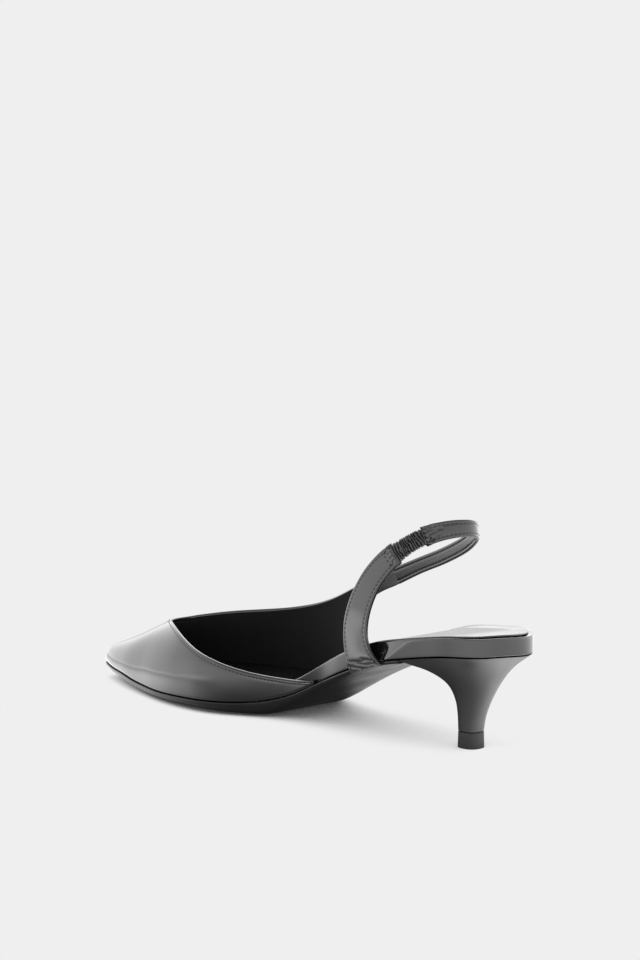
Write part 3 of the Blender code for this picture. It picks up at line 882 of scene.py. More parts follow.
def footbed_plan(station, heel_start=0.0):
    """Centre and half width of the footbed, drawn in where the upper wraps it."""
    centre, half = plan(station, heel_start)
    centre += (medial_inset(station) - lateral_inset(station)) / 2
    half -= (medial_inset(station) + lateral_inset(station)) / 2
    return centre, half


def half_outline(start, end, side, heel_start, inset=0.0):
    """One edge of the footbed from its front to the back of the heel: places, and directions out of it."""
    turns = np.linspace(0, math.pi / 2, OUTLINE_SAMPLES)
    stations = end - (end - start) * np.sin(turns)
    track = []
    for station in stations:
        centre, half = footbed_plan(station, heel_start)
        track.append((station, centre + side * half))
    track = np.array(track)
    run = run_length(track)
    places = np.linspace(0, run[-1], HALF_OUTLINE_POINTS)
    track = along_track(track, run, places)
    slopes = np.gradient(track, axis=0)
    out = side * np.stack([slopes[:, 1], -slopes[:, 0]], axis=1)
    out[-1] = (-1, 0)
    out /= np.linalg.norm(out, axis=1)[:, None]
    return track - out * inset, out


def band_dent(station, offset, share):
    """How far the band dips in behind the strap, at a share of its height. It fills the gap under it."""
    if offset > 0:
        return 0.0
    behind = DENT_STATION - station
    reach = between(DENT_REACH_LOW, DENT_REACH_HIGH, share)
    dip = DENT_DEPTH * (1 - even_ease(behind, 0, reach)) ** 2 * ease(behind, -DENT_UNDER, -DENT_UNDER / 2)
    return float(dip - DENT_FILL * bump(behind, -DENT_FILL_BEHIND, DENT_FILL_WIDTH))


def footbed_wrap():
    """The patent band wrapped round the footbed, swept along its edge from front to back to front."""
    places, outs = half_outline(0, FOOTBED_END, -1, 0)
    far_places, far_outs = half_outline(0, FOOTBED_END, 1, 0)
    places = np.vstack([places, far_places[-2::-1]])
    outs = np.vstack([outs, far_outs[-2::-1]])
    rings = []
    for (station, offset), (ahead, across) in zip(places, outs):
        bottom = upper_base(station) - seat_drop(station, offset)
        tall = footbed_thickness(station)
        _, half = plan(station)
        depth = min(WRAP_DEPTH, max(half, LEAST_WRAP_HALF) * MOST_BEVEL)
        high, low = WRAP_ROUND, WRAP_FOOT_ROUND
        lean = WRAP_LEAN * (1 - ease(station, 0, WRAP_LEAN_TO))
        if offset < 0:
            lean += FRONT_LEAN * ease(station, *FRONT_LEAN_ALONG)
        foot = WRAP_FOOT_LIFT
        side = [(depth, foot), (low, foot)]
        side += [(inward, foot + rise) for inward, rise in edge_arc(low)[-2::-1]]
        for share in np.linspace(0, 1, WRAP_SIDE_POINTS)[1:-1]:
            side.append((0, between(foot + low, tall - high, share)))
        side += [(inward, tall - drop) for inward, drop in edge_arc(high)]
        side.append((depth, tall - FOOTBED_CUP * ease(depth, 0, half)))
        ring = []
        for inward, height in side:
            share = height / tall
            inward += band_dent(station, offset, share) * (1 - ease(inward, high, depth)) - lean * share
            ring.append((station - ahead * inward, offset - across * inward, bottom + height))
        rings.append(ring)
    size = len(rings[0])
    points = [point for ring in rings for point in ring]
    faces = []
    for i in range(len(rings) - 1):
        for j in range(size - 1):
            faces.append((i * size + j, i * size + j + 1, (i + 1) * size + j + 1, (i + 1) * size + j))
    last = len(rings) - 1
    for i in range(last // 2):
        far = last - i
        for j in (0, size - 1):
            corners = (i * size + j, (i + 1) * size + j, (far - 1) * size + j, far * size + j)
            faces.append(tuple(dict.fromkeys(corners)))
    faces.append(tuple(range(size)) + tuple(last * size + j for j in reversed(range(size))))
    return points, faces


def sock():
    """The sock leather, a thin sheet in the footbed's hollow with its cut edge rounded."""
    near, near_out = half_outline(SOCK_START, SOCK_END, -1, SOCK_START, SOCK_INSET)
    far, far_out = half_outline(SOCK_START, SOCK_END, 1, SOCK_START, SOCK_INSET)
    edge = [(0, 0)] + [(inward, SOCK_THICKNESS - drop) for inward, drop in edge_arc(SOCK_ROUND)]
    rings = []
    for i in range(len(near)):
        sides = []
        for places, outs in ((near, near_out), (far, far_out)):
            station = places[i][0]
            top = upper_base(station) + footbed_thickness(station) + SOCK_GAP - seat_drop(*places[i])
            side = []
            for inward, height in edge:
                ahead, across = places[i] - outs[i] * inward
                side.append((ahead, across, top + height))
            sides.append(side)
        start, end = np.array(sides[0][-1]), np.array(sides[1][-1])
        half = np.linalg.norm(end - start) / 2
        middle = []
        for share in np.linspace(0, 1, SOCK_COLUMNS)[1:-1]:
            point = between(start, end, share)
            point[2] -= FOOTBED_CUP * 4 * share * (1 - share) * min(half / HEEL_ROUND, 1)
            middle.append(tuple(point))
        rings.append(sides[0] + middle + sides[1][::-1])
    return loft(rings)


def tip_outline(size=0.0):
    """The D-shaped tip, from its front medial corner round the back to its front lateral corner."""
    points = []
    power = 2 / TIP_SQUARENESS
    for turn in np.linspace(-TIP_CORNER_ANGLE, TIP_CORNER_ANGLE - 2 * math.pi, 2 * HEEL_SIDE_POINTS - 1):
        forward = math.copysign(abs(math.cos(turn)) ** power, math.cos(turn))
        across = math.copysign(abs(math.sin(turn)) ** power, math.sin(turn))
        station = TIP_STATION + forward * (TIP_HALF_LENGTH + size)
        points.append((station, across * (TIP_HALF_WIDTH + size)))
    return points


def seat_outline():
    """The heel seat, in the order of tip_outline."""
    medial = []
    lateral = []
    for turn in np.linspace(0, math.pi / 2, HEEL_SIDE_POINTS):
        station = (BREAST_STATION - JOIN_GAP) * (1 - math.sin(turn))
        centre, half = plan(station)
        medial.append((station, centre - half))
        lateral.append((station, centre + half))
    return medial + lateral[-2::-1]


def closed_front(outline):
    """A ring with its straight front added and the two corners there rounded off."""
    outline = np.array(outline)
    shares = np.linspace(0, 1, HEEL_FRONT_POINTS + 2)[1:-1, None]
    ring = np.vstack([outline, between(outline[-1], outline[0], shares)])
    gaps = np.linalg.norm(ring - np.roll(ring, 1, axis=0), axis=1)
    reach = BREAST_ROUND / np.maximum(gaps + np.roll(gaps, -1), TINY)
    share = np.minimum(reach, MOST_CORNER_SHARE)[:, None]
    for _ in range(CORNER_PASSES):
        ring = ring + share * ((np.roll(ring, 1, axis=0) + np.roll(ring, -1, axis=0)) / 2 - ring)
    return [tuple(point) for point in ring]


def heel():
    """The covered heel, spreading from the tip to the seat."""
    curves = [column(HEEL, name) for name in HeelRow._fields[1:]]
    rises = np.linspace(0, 1, HEEL_RINGS)
    spreads = eased_rows(np.array([[curve(rise) for curve in curves] for rise in rises]), HEEL_EASE)
    bottom = TOP_PIECE_HEIGHT + JOIN_GAP
    rings = []
    for rise, (behind, before, wide) in zip(rises, spreads):
        outline = []
        for (tip_station, tip_offset), (seat_station, seat_offset) in zip(tip_outline(), seat_outline()):
            ahead = ease(seat_station, BACK_PROFILE_TO, FRONT_PROFILE_FROM)
            station = between(tip_station, seat_station, between(behind, before, ahead))
            offset = between(tip_offset, seat_offset, wide)
            top = feather(station) - seat_drop(station, offset)
            outline.append((station, offset, between(bottom, top, rise)))
        rings.append(closed_front(outline))
    return loft(rings)


def top_piece():
    """The rubber lift under the heel, with its two edges eased."""
    rings = []
    rows = edge_arc(TOP_PIECE_BEVEL, TOP_PIECE_ARC_POINTS)
    heights = [(height, -inward) for height, inward in rows]
    heights += [(TOP_PIECE_HEIGHT - height, -inward) for height, inward in rows[::-1]]
    for height, grow in heights:
        flare = between(TOP_PIECE_FLARE, 0, height / TOP_PIECE_HEIGHT)
        outline = [(station, offset, height) for station, offset in tip_outline(flare + grow)]
        rings.append(closed_front(outline))
    return loft(rings)


def sling_route():
    """The sling's route read finely and eased, with the run along it and the run at each row."""
    rows = spline(np.array(SLING_ROUTE, float), ROUTE_SAMPLES)
    run = run_length(rows[:, :3])
    even = np.arange(0, run[-1], TRACK_STEP)
    rows = along_track(rows, run, even)
    row_runs = run[::ROUTE_SAMPLES]
    return eased_rows(rows, ROUTE_EASE / TRACK_STEP), even, row_runs


ROUTE, ROUTE_RUN, ROW_RUNS = sling_route()


def even_runs(start, end, step=STRAP_STEP):
    return np.linspace(start, end, max(int((end - start) / step), 2) + 1)


def strap_slices(runs):
    """Slices of the sling: run, place, outward and widthways directions, width."""
    tangents = np.gradient(ROUTE[:, :3], axis=0)
    slices = []
    for run in runs:
        row = Route(*(np.interp(run, ROUTE_RUN, ROUTE[:, axis]) for axis in range(ROUTE.shape[1])))
        place = np.array(row[:3])
        along = np.array([np.interp(run, ROUTE_RUN, tangents[:, axis]) for axis in range(3)])
        along = between(along / np.linalg.norm(along), SEAT_NORMAL, row.seated)
        along /= np.linalg.norm(along)
        facing, lean = math.radians(row.facing), math.radians(row.lean)
        level = np.array([-math.cos(facing), math.sin(facing), 0])
        out = math.cos(lean) * level + math.sin(lean) * UP
        out -= along * out.dot(along)
        out /= np.linalg.norm(out)
        slices.append((run, place, out, np.cross(along, out), row.width))
    return slices


def strap_face(distance, half_width, half_thick, crown, groove):
    """Height of a strap's face at a distance from its edge."""
    reach = np.clip(distance / STRAP_ROUND, 0, 1)
    edge = half_thick * math.sqrt(1 - (1 - reach) ** 2)
    swell = crown * (1 - (1 - min(distance / half_width, 1)) ** 2)
    return edge + swell - groove * bump(distance, STRAP_STITCH, STRAP_GROOVE_WIDTH)


def crease_depth(creases, run, across):
    """How deep the creases of a strap are at a place on it."""
    depth = 0.0
    for crease in creases:
        start, end, place = np.array(crease.start), np.array(crease.end), np.array((run, across))
        share = np.clip((place - start).dot(end - start) / (end - start).dot(end - start), 0, 1)
        depth += crease.depth * bump(np.linalg.norm(place - between(start, end, share)), 0, crease.width)
    return depth


def strap_rows(half_width):
    """Distances from the edge to the middle of a strap, close together at the edge and the stitches."""
    squeeze = min(1, STRAP_ROWS_SHARE * half_width / STRAP_ROWS[-1])
    rows = [row * squeeze for row in STRAP_ROWS]
    return rows + list(np.linspace(rows[-1], half_width, STRAP_MIDDLE_ROWS + 1)[1:])


def strap(runs, thickness, lips, crown=STRAP_CROWN, groove=STRAP_GROOVE, creases=(), widen=1.0):
    """A strap along some runs of the route. lips are the thick puckered folds at its start and end."""
    start, end = runs[0], runs[-1]
    rings = []
    for run, place, out, wide, width in strap_slices(runs):
        ends = [run - start if lips[0] else math.inf, end - run if lips[1] else math.inf]
        near = min(ends)
        folded = 1 - ease(near, LIP_LENGTH - LIP_FADE, LIP_LENGTH + LIP_FADE)
        pucker = PUCKER * (1 - ease(near, 0, PUCKER_LENGTH))
        swell = (1 + LIP_SWELL * folded) * between(LIP_THIN, 1, round_end(near, LIP_ROUND))
        half_width = width / 2 * widen * (1 + LIP_WIDEN * folded)
        half_thick = thickness / 2 * swell
        rows = strap_rows(half_width)
        over = [(row, strap_face(row, half_width, half_thick, crown, groove)) for row in rows]
        under = [(row, -strap_face(row, half_width, half_thick, 0, groove)) for row in rows]
        ring = [(row - half_width, height) for row, height in over]
        ring += [(half_width - row, height) for row, height in over[-2::-1]]
        ring += [(half_width - row, height) for row, height in under[1:]]
        ring += [(row - half_width, height) for row, height in under[-2:0:-1]]
        shaped = []
        for across, height in ring:
            side = height / half_thick
            wave = math.sin(2 * math.pi * across / PUCKER_PITCH)
            height += side * pucker * wave * swell
            height -= max(side, 0) * crease_depth(creases, run - start, across)
            shaped.append(tuple(place + wide * across + out * height))
        rings.append(shaped)
    points, faces = loft(rings)
    outer = 2 * len(rows) - 2
    finish = [OUTER if i % len(rings[0]) < outer else LINED for i in range(len(faces) - 2)]
    finish += [LINED, LINED]
    return points, faces, finish


def strap_stitches(start, end, thickness, outward, crown=0.0):
    """Two rows of stitches along the edges of one face of a strap."""
    paths = [[], []]
    for _, place, out, wide, width in strap_slices(even_runs(start, end, STITCH_TRACK_STEP)):
        half_width = width / 2
        height = strap_face(STRAP_STITCH, half_width, thickness / 2, crown, STRAP_GROOVE) + THREAD_LIFT
        for path, side in zip(paths, (-1, 1)):
            across = side * (half_width - STRAP_STITCH)
            path.append(place + wide * across + out * height * outward)
    return paths


def box_stitches(low, high, thickness, crown):
    """A narrow box of stitches across the outer face of a strap, between two runs."""
    half_box = BOX_STITCH_LENGTH / 2
    corners = [(low, -half_box), (low, half_box), (high, half_box), (high, -half_box), (low, -half_box)]
    path = []
    for start, end in zip(corners, corners[1:]):
        for share in np.linspace(0, 1, BOX_SIDE_POINTS):
            run, across = between(np.array(start), np.array(end), share)
            _, place, out, wide, width = strap_slices([run])[0]
            height = strap_face(width / 2 - abs(across), width / 2, thickness / 2, crown, 0) + THREAD_LIFT
            path.append(place + wide * across + out * height)
    return path


def linear(colour):
    """A hex sRGB colour as linear red, green, blue and alpha."""
    values = [int(colour[i : i + 2], 16) / 255 for i in (1, 3, 5)]
    return [v / 12.92 if v <= 0.04045 else ((v + 0.055) / 1.055) ** 2.4 for v in values] + [1]


def per_metre(millimetres):
    """The texture scale whose features are this wide."""
    return 1 / (millimetres * METRES_PER_MM)


def node(tree, kind, links=None, **settings):
    """Adds a node. Each input, by name or place, takes a value, an output or a node's first output in use."""
    made = tree.nodes.new(kind)
    for name, value in settings.items():
        setattr(made, name, value)
    for name, value in (links or {}).items():
        if isinstance(value, bpy.types.Node):
            value = next(output for output in value.outputs if output.enabled)
        if isinstance(value, bpy.types.NodeSocket):
            tree.links.new(value, made.inputs[name])
        else:
            made.inputs[name].default_value = value
    return made


def blank_material(name):
    material = bpy.data.materials.new(name)
    material.use_nodes = True
    material.node_tree.nodes.clear()
    return material, material.node_tree


def surface(name, reliefs, tones, gloss, patches=None, shader=None):
    """A material with reliefs one on the other, two tones that mix in patches or as the relief does,
    a gloss that is even or varies, and the shader's other inputs."""
    material, tree = blank_material(name)
    place = node(tree, "ShaderNodeTexCoord").outputs["Object"]

    def spread(source):
        if source == HOLLOWS:
            return node(tree, "ShaderNodeNewGeometry").outputs[HOLLOWS]
        scale = {"Vector": place, "Scale": per_metre(source.width)}
        made = node(tree, source.kind, scale | source.inputs, **source.settings)
        return made.outputs.get("Fac") or made.outputs["Distance"]

    raised = {}
    for relief in reliefs:
        height = spread(relief.texture)
        sizes = {"Strength": relief.strength, "Distance": relief.depth * METRES_PER_MM}
        raised = {"Normal": node(tree, "ShaderNodeBump", {"Height": height} | sizes | raised)}
    mixed = {"Factor": spread(patches) if patches else height, 6: linear(tones[0]), 7: linear(tones[1])}
    colour = node(tree, "ShaderNodeMix", mixed, data_type="RGBA")
    if isinstance(gloss, Gloss):
        ends = {"From Min": gloss.low, "From Max": gloss.high, "To Min": gloss.start, "To Max": gloss.end}
        gloss = node(tree, MAP_RANGE, {"Value": spread(gloss.source)} | ends)
    skin = {"Base Color": colour, "Roughness": gloss} | (shader or {}) | raised
    node(tree, "ShaderNodeOutputMaterial", {"Surface": node(tree, "ShaderNodeBsdfPrincipled", skin)})
    return material


def shoe_materials():
    """Every material of the shoe, by name."""
    wipe = Texture(NOISE, 24, {"Detail": 4.0})
    scuff = Texture(NOISE, 14, {"Detail": 5.0})
    wear = Texture(NOISE, 18, {"Detail": 3.0})
    lacquer = [
        Relief(Texture(NOISE, 9, {"Detail": 1.0}), 1.0, 0.03),
        Relief(Texture(NOISE, 1.3, {"Detail": 2.0}), 1.0, 0.0012),
    ]
    black = ("#0A0A0B", "#121213")
    made = [
        # Black calf under a polished lacquer: deep black with reflections that the film's slow ripple
        # bends a little, and a gloss that is never quite even. The heel's cover is duller
        surface("patent_leather", lacquer, black, Gloss(wipe, *PATCH_SPAN, 0.05, 0.1), wipe, {"IOR": 1.52}),
        surface("heel_patent", lacquer, black, Gloss(wipe, *PATCH_SPAN, 0.36, 0.42), wipe, {"IOR": 1.52}),
        # Black brushed microfibre: a short matt nap that drinks the light
        surface(
            "lining_microfibre",
            [Relief(Texture(NOISE, 0.5, {"Detail": 3.0}), 0.6, 0.08)],
            ("#0B0B0B", "#131313"),
            0.95,
            Texture(NOISE, 11, {"Detail": 2.0}),
            {"Specular IOR Level": 0.08, "Sheen Weight": 0.05, "Sheen Roughness": 0.6},
        ),
        # Black goat lining leather: fine pores and a satin finish
        surface(
            "strap_lining",
            [Relief(Texture(VORONOI, 0.7, {}, PORES), 0.5, 0.05)],
            ("#0E0E0E", "#171717"),
            0.3,
            shader={"IOR": 1.5},
        ),
        # Black lacquered sole leather: smooth and shiny, with the faint scuffs of handling
        surface(
            "sole_leather",
            [Relief(Texture(NOISE, 1.2, {"Detail": 3.0}), 0.4, 0.01)],
            ("#0B0B0B", "#151515"),
            Gloss(scuff, *PATCH_SPAN, 0.24, 0.36),
            scuff,
            {"Specular IOR Level": 0.24},
        ),
        # Black finished sheepskin: a fine pebble under a thin shiny finish that shows at a low angle
        surface(
            "sock_leather",
            [Relief(Texture(VORONOI, 0.9, {}, PORES), 0.35, 0.04)],
            ("#0D0D0D", "#171717"),
            Gloss(wear, *PATCH_SPAN, 0.14, 0.22),
            shader={"IOR": 1.5},
        ),
        # Soft coated leather drawn up over elastic: shiny ridges, dull dark valleys between them
        surface(
            "gathered_cover",
            [Relief(Texture(NOISE, 1.1, {"Detail": 3.0}), 0.6, 0.08)],
            ("#0A0A0A", "#161617"),
            Gloss(HOLLOWS, 0.42, 0.58, 0.6, 0.22),
            shader={"IOR": 1.5},
        ),
        # Black moulded polyurethane: dull, with the fine grit of its mould
        surface(
            "heel_rubber",
            [Relief(Texture(NOISE, 0.35, {"Detail": 4.0}), 0.5, 0.03)],
            ("#0A0A0A", "#121212"),
            0.55,
            Texture(NOISE, 4, {"Detail": 3.0}),
            {"IOR": 1.42},
        ),
        # Black bonded nylon thread: three twisted plies with a waxy shine
        surface(
            "bonded_nylon",
            [Relief(Texture("ShaderNodeTexWave", 2.0, {"Distortion": 2.0}), 0.5, 0.03)],
            ("#060606", "#0E0E0E"),
            0.6,
            shader={"Specular IOR Level": 0.2},
        ),
    ]
    return {material.name: material for material in made}


def facing(tree, direction, side):
    """1 in the direction of a side of the room, falling to 0 away from it."""
    turned = node(tree, VECTOR_MATH, {0: direction, 1: side.towards}, operation="DOT_PRODUCT")
    ends = {"From Min": side.start, "From Max": side.end}
    return node(tree, MAP_RANGE, {"Value": turned} | ends, interpolation_type="SMOOTHSTEP")


def floor_paper():
    """Matt white background paper that glows with no lamp, with a painted shadow where little sky is open
    above it, so that only the deepest shade shows on it. The gloss of the shoe sees it brighter, with painted
    glow and painted shade on it out of the frame."""
    material, tree = blank_material("floor_paper")
    place = node(tree, "ShaderNodeTexCoord").outputs["Object"]
    fibre = node(tree, NOISE, {"Vector": place, "Scale": per_metre(PAPER_FIBRE_WIDTH), "Detail": 2.0})
    ends = {"To Min": PAPER_TONE - PAPER_FIBRE, "To Max": PAPER_TONE + PAPER_FIBRE}
    tone = node(tree, MAP_RANGE, {"Value": fibre} | ends)
    # Painted reflection brightness for the gloss alone: more glow on the paper away from the shoe, duller
    # towards the back wall and brighter towards the window
    slim = node(tree, VECTOR_MATH, {0: place, 1: SHOE_SLIMNESS}, operation="MULTIPLY")
    away = node(tree, VECTOR_MATH, {0: slim}, operation="LENGTH")
    ends = {"From Min": FAR_PAPER_FROM, "From Max": FAR_PAPER_TO, "To Min": 0.0, "To Max": FAR_PAPER}
    far = node(tree, MAP_RANGE, {"Value": away} | ends, interpolation_type="SMOOTHSTEP")
    direction = node(tree, VECTOR_MATH, {0: place}, operation="NORMALIZE")
    dull = node(tree, MATH, {0: 1.0, 1: facing(tree, direction, BACK_WALL)}, operation="SUBTRACT")
    window = facing(tree, direction, WINDOW)
    gain = node(tree, MATH, {0: window, 1: WINDOW_GAIN, 2: dull}, operation="MULTIPLY_ADD")
    bright = node(tree, MATH, {0: far, 1: gain}, operation="MULTIPLY")
    # Painted glow patches and painted shade patches on the paper, seen by the gloss alone
    for painted_patch in PAINTED_PATCHES:
        gap = node(tree, VECTOR_MATH, {0: place, 1: painted_patch.centre}, operation="DISTANCE")
        ends = {"From Min": 0.0, "From Max": painted_patch.reach, "To Min": painted_patch.brightness, "To Max": 0.0}
        spot = node(tree, MAP_RANGE, {"Value": gap} | ends, interpolation_type="SMOOTHSTEP")
        bright = node(tree, MATH, {0: bright, 1: spot})
    mirrored = node(tree, "ShaderNodeLightPath").outputs["Is Glossy Ray"]
    # Only glossy rays see the painted glow; the camera sees the plain tone
    glow_strength = node(tree, MATH, {0: bright, 1: mirrored, 2: tone}, operation="MULTIPLY_ADD")
    # Painted shadow: the glow darkens where the shoe closes the sky over the paper, by one ramp for the
    # camera and another for the gloss
    sky = node(tree, "ShaderNodeAmbientOcclusion", {"Distance": SHADE_REACH}, samples=SHADE_SAMPLES)
    sky = sky.outputs["AO"]
    shades = []
    for shade in (SEEN_SHADE, GLOSS_SHADE):
        opened = node(tree, MAP_RANGE, {"Value": sky, "From Min": shade.closed, "From Max": shade.opened})
        bent = node(tree, MATH, {0: opened, 1: shade.bend}, operation="POWER")
        lifted = {0: bent, 1: 1 - shade.darkest, 2: shade.darkest}
        shades.append(node(tree, MATH, lifted, operation="MULTIPLY_ADD"))
    shaded = node(tree, "ShaderNodeMix", {"Factor": mirrored, 2: shades[0], 3: shades[1]})
    strength = node(tree, MATH, {0: glow_strength, 1: shaded}, operation="MULTIPLY")
    glow = node(tree, "ShaderNodeEmission", {"Color": WHITE, "Strength": strength})
    node(tree, "ShaderNodeOutputMaterial", {"Surface": glow})
    return material


def geometry_tree(name, taken, given, sizes):
    """A node tree that makes one mesh of another, with its sizes as named inputs."""
    tree = bpy.data.node_groups.new(name, "GeometryNodeTree")
    for label, kind in ((taken, "Geometry"), *sizes.items()):
        tree.interface.new_socket(label, in_out="INPUT", socket_type="NodeSocket" + kind)
    tree.interface.new_socket(given, in_out="OUTPUT", socket_type="NodeSocketGeometry")
    return tree, node(tree, "NodeGroupInput").outputs


def end_tree(tree, shape, material, given):
    """Ends a node tree with its shape made real, smooth and of one material."""
    real = node(tree, "GeometryNodeRealizeInstances", {"Geometry": shape})
    smooth = node(tree, "GeometryNodeSetShadeSmooth", {"Geometry": real})
    dressed = node(tree, "GeometryNodeSetMaterial", {"Geometry": smooth, "Material": material})
    node(tree, "NodeGroupOutput", {given: dressed})
    return tree


def stitch_tree():
    """A row of stitches along each path: plump short lengths of thread, laid end to end."""
    sizes = {"Spacing": "Float", "Length": "Float", "Thickness": "Float", "Thread": "Material"}
    tree, given = geometry_tree("stitch_row", "Path", "Stitches", sizes)
    curve = node(tree, "GeometryNodeMeshToCurve", {"Mesh": given["Path"]})
    spaced = {"Curve": curve, "Length": given["Spacing"]}
    spots = node(tree, "GeometryNodeResampleCurve", spaced, mode="LENGTH")
    ball = node(tree, "GeometryNodeMeshUVSphere", STITCH_BALL)
    thick = given["Thickness"]
    size = node(tree, "ShaderNodeCombineXYZ", {"X": given["Length"], "Y": thick, "Z": thick})
    thread = node(tree, "GeometryNodeTransform", {"Geometry": ball, "Scale": size})
    along = node(tree, "GeometryNodeInputTangent")
    turn = node(tree, "FunctionNodeAlignRotationToVector", {"Vector": along}, axis="X")
    vary = node(tree, "FunctionNodeRandomValue", STITCH_VARIATION, data_type="FLOAT_VECTOR")
    laid = {"Points": spots, "Instance": thread, "Rotation": turn, "Scale": vary}
    rows = node(tree, "GeometryNodeInstanceOnPoints", laid)
    return end_tree(tree, rows, given["Thread"], "Stitches")


def gather_tree():
    """Draws a sleeve up into gathers that lean and wander, deep between and plump on top."""
    sizes = dict.fromkeys(("Pitch", "Depth", "Lean", "Wander", "Uneven"), "Float") | {"Cover": "Material"}
    tree, given = geometry_tree("gathers", "Sleeve", "Gathers", sizes)
    along, across, fade = (
        node(tree, "GeometryNodeInputNamedAttribute", {"Name": name}, data_type="FLOAT")
        for name in ("along", "across", "fade")
    )
    spot = node(tree, "ShaderNodeCombineXYZ", {"X": along, "Y": across, "Z": GATHER_SEED})
    drift = node(tree, NOISE, {"Vector": spot} | GATHER_DRIFT)
    patch = node(tree, NOISE, {"Vector": spot} | GATHER_PATCH)
    swing = node(tree, MATH, {0: patch, 1: 0.5}, operation="SUBTRACT")
    uneven = node(tree, MATH, {0: swing, 1: given["Uneven"], 2: 1.0}, operation="MULTIPLY_ADD")
    depth = along
    for operation, place, others in (
        ("DIVIDE", 0, {1: given["Pitch"]}),
        ("MULTIPLY_ADD", 2, {0: across, 1: given["Lean"]}),
        ("MULTIPLY_ADD", 2, {0: drift, 1: given["Wander"]}),
        ("MULTIPLY", 0, {1: math.pi}),
        ("SINE", 0, {}),
        ("ABSOLUTE", 0, {}),
        ("POWER", 0, {1: GATHER_PLUMPNESS}),
        ("SUBTRACT", 0, {1: 1.0}),
        ("MULTIPLY", 0, {1: given["Depth"]}),
        ("MULTIPLY", 0, {1: uneven}),
        ("MULTIPLY", 0, {1: fade}),
    ):
        depth = node(tree, MATH, {place: depth} | others, operation=operation)
    out = node(tree, "GeometryNodeInputNormal")
    move = node(tree, VECTOR_MATH, {0: out, "Scale": depth}, operation="SCALE")
    drawn = node(tree, "GeometryNodeSetPosition", {"Geometry": given["Sleeve"], "Offset": move})
    return end_tree(tree, drawn, given["Cover"], "Gathers")


def shape_by(piece, tree, sizes):
    """Runs a node tree on a piece with these sizes and keeps the result as its plain mesh."""
    modifier = piece.modifiers.new(tree.name, "NODES")
    modifier.node_group = tree
    for item in tree.interface.items_tree:
        if item.in_out == "INPUT" and item.name in sizes:
            modifier[item.identifier] = sizes[item.name]
    graph = bpy.context.evaluated_depsgraph_get()
    mesh = bpy.data.meshes.new_from_object(piece.evaluated_get(graph))
    piece.modifiers.clear()
    rough = piece.data
    piece.data = mesh
    bpy.data.meshes.remove(rough)
    mesh.name = piece.name
    return piece


def stitching(name, paths, tree, thread):
    """The stitches of some paths as one piece."""
    points = []
    edges = []
    for path in paths:
        first = len(points)
        points += [to_world(*point) for point in path]
        edges += [(first + i, first + i + 1) for i in range(len(path) - 1)]
    mesh = bpy.data.meshes.new(name)
    mesh.from_pydata(points, edges, [])
    sizes = {"Spacing": STITCH_SPACING, "Length": STITCH_LENGTH, "Thickness": THREAD_THICKNESS}
    sizes = {label: size * METRES_PER_MM for label, size in sizes.items()}
    return shape_by(add_object(name, mesh), tree, sizes | {"Thread": thread})


def gathered_elastic(start, end, cover):
    """The elastic between the two straps, drawn up into gathers."""
    runs = even_runs(start, end, (end - start) / (GATHER_COUNT * GATHER_RINGS))
    points, faces, _ = strap(runs, ELASTIC_THICKNESS, (False, False), ELASTIC_CROWN, 0, widen=ELASTIC_NARROW)
    piece = make_piece("gathered_elastic", points, faces, [cover], smooth_angle=math.pi)
    ring_size = len(points) // len(runs)
    slices = strap_slices(runs)
    values = {"along": [], "across": [], "fade": []}
    for i, point in enumerate(points):
        run, place, _, wide, _ = slices[i // ring_size]
        values["along"].append(run - start)
        values["across"].append(float(np.dot(np.array(point) - place, wide)))
        values["fade"].append(float(ease(min(run - start, end - run), 0, GATHER_FADE)))
    for name, column_values in values.items():
        piece.data.attributes.new(name, "FLOAT", "POINT").data.foreach_set("value", column_values)
    sizes = {"Pitch": (end - start) / GATHER_COUNT, "Depth": GATHER_DEPTH * METRES_PER_MM, "Cover": cover}
    return shape_by(piece, gather_tree(), sizes | GATHER_SHAPE)


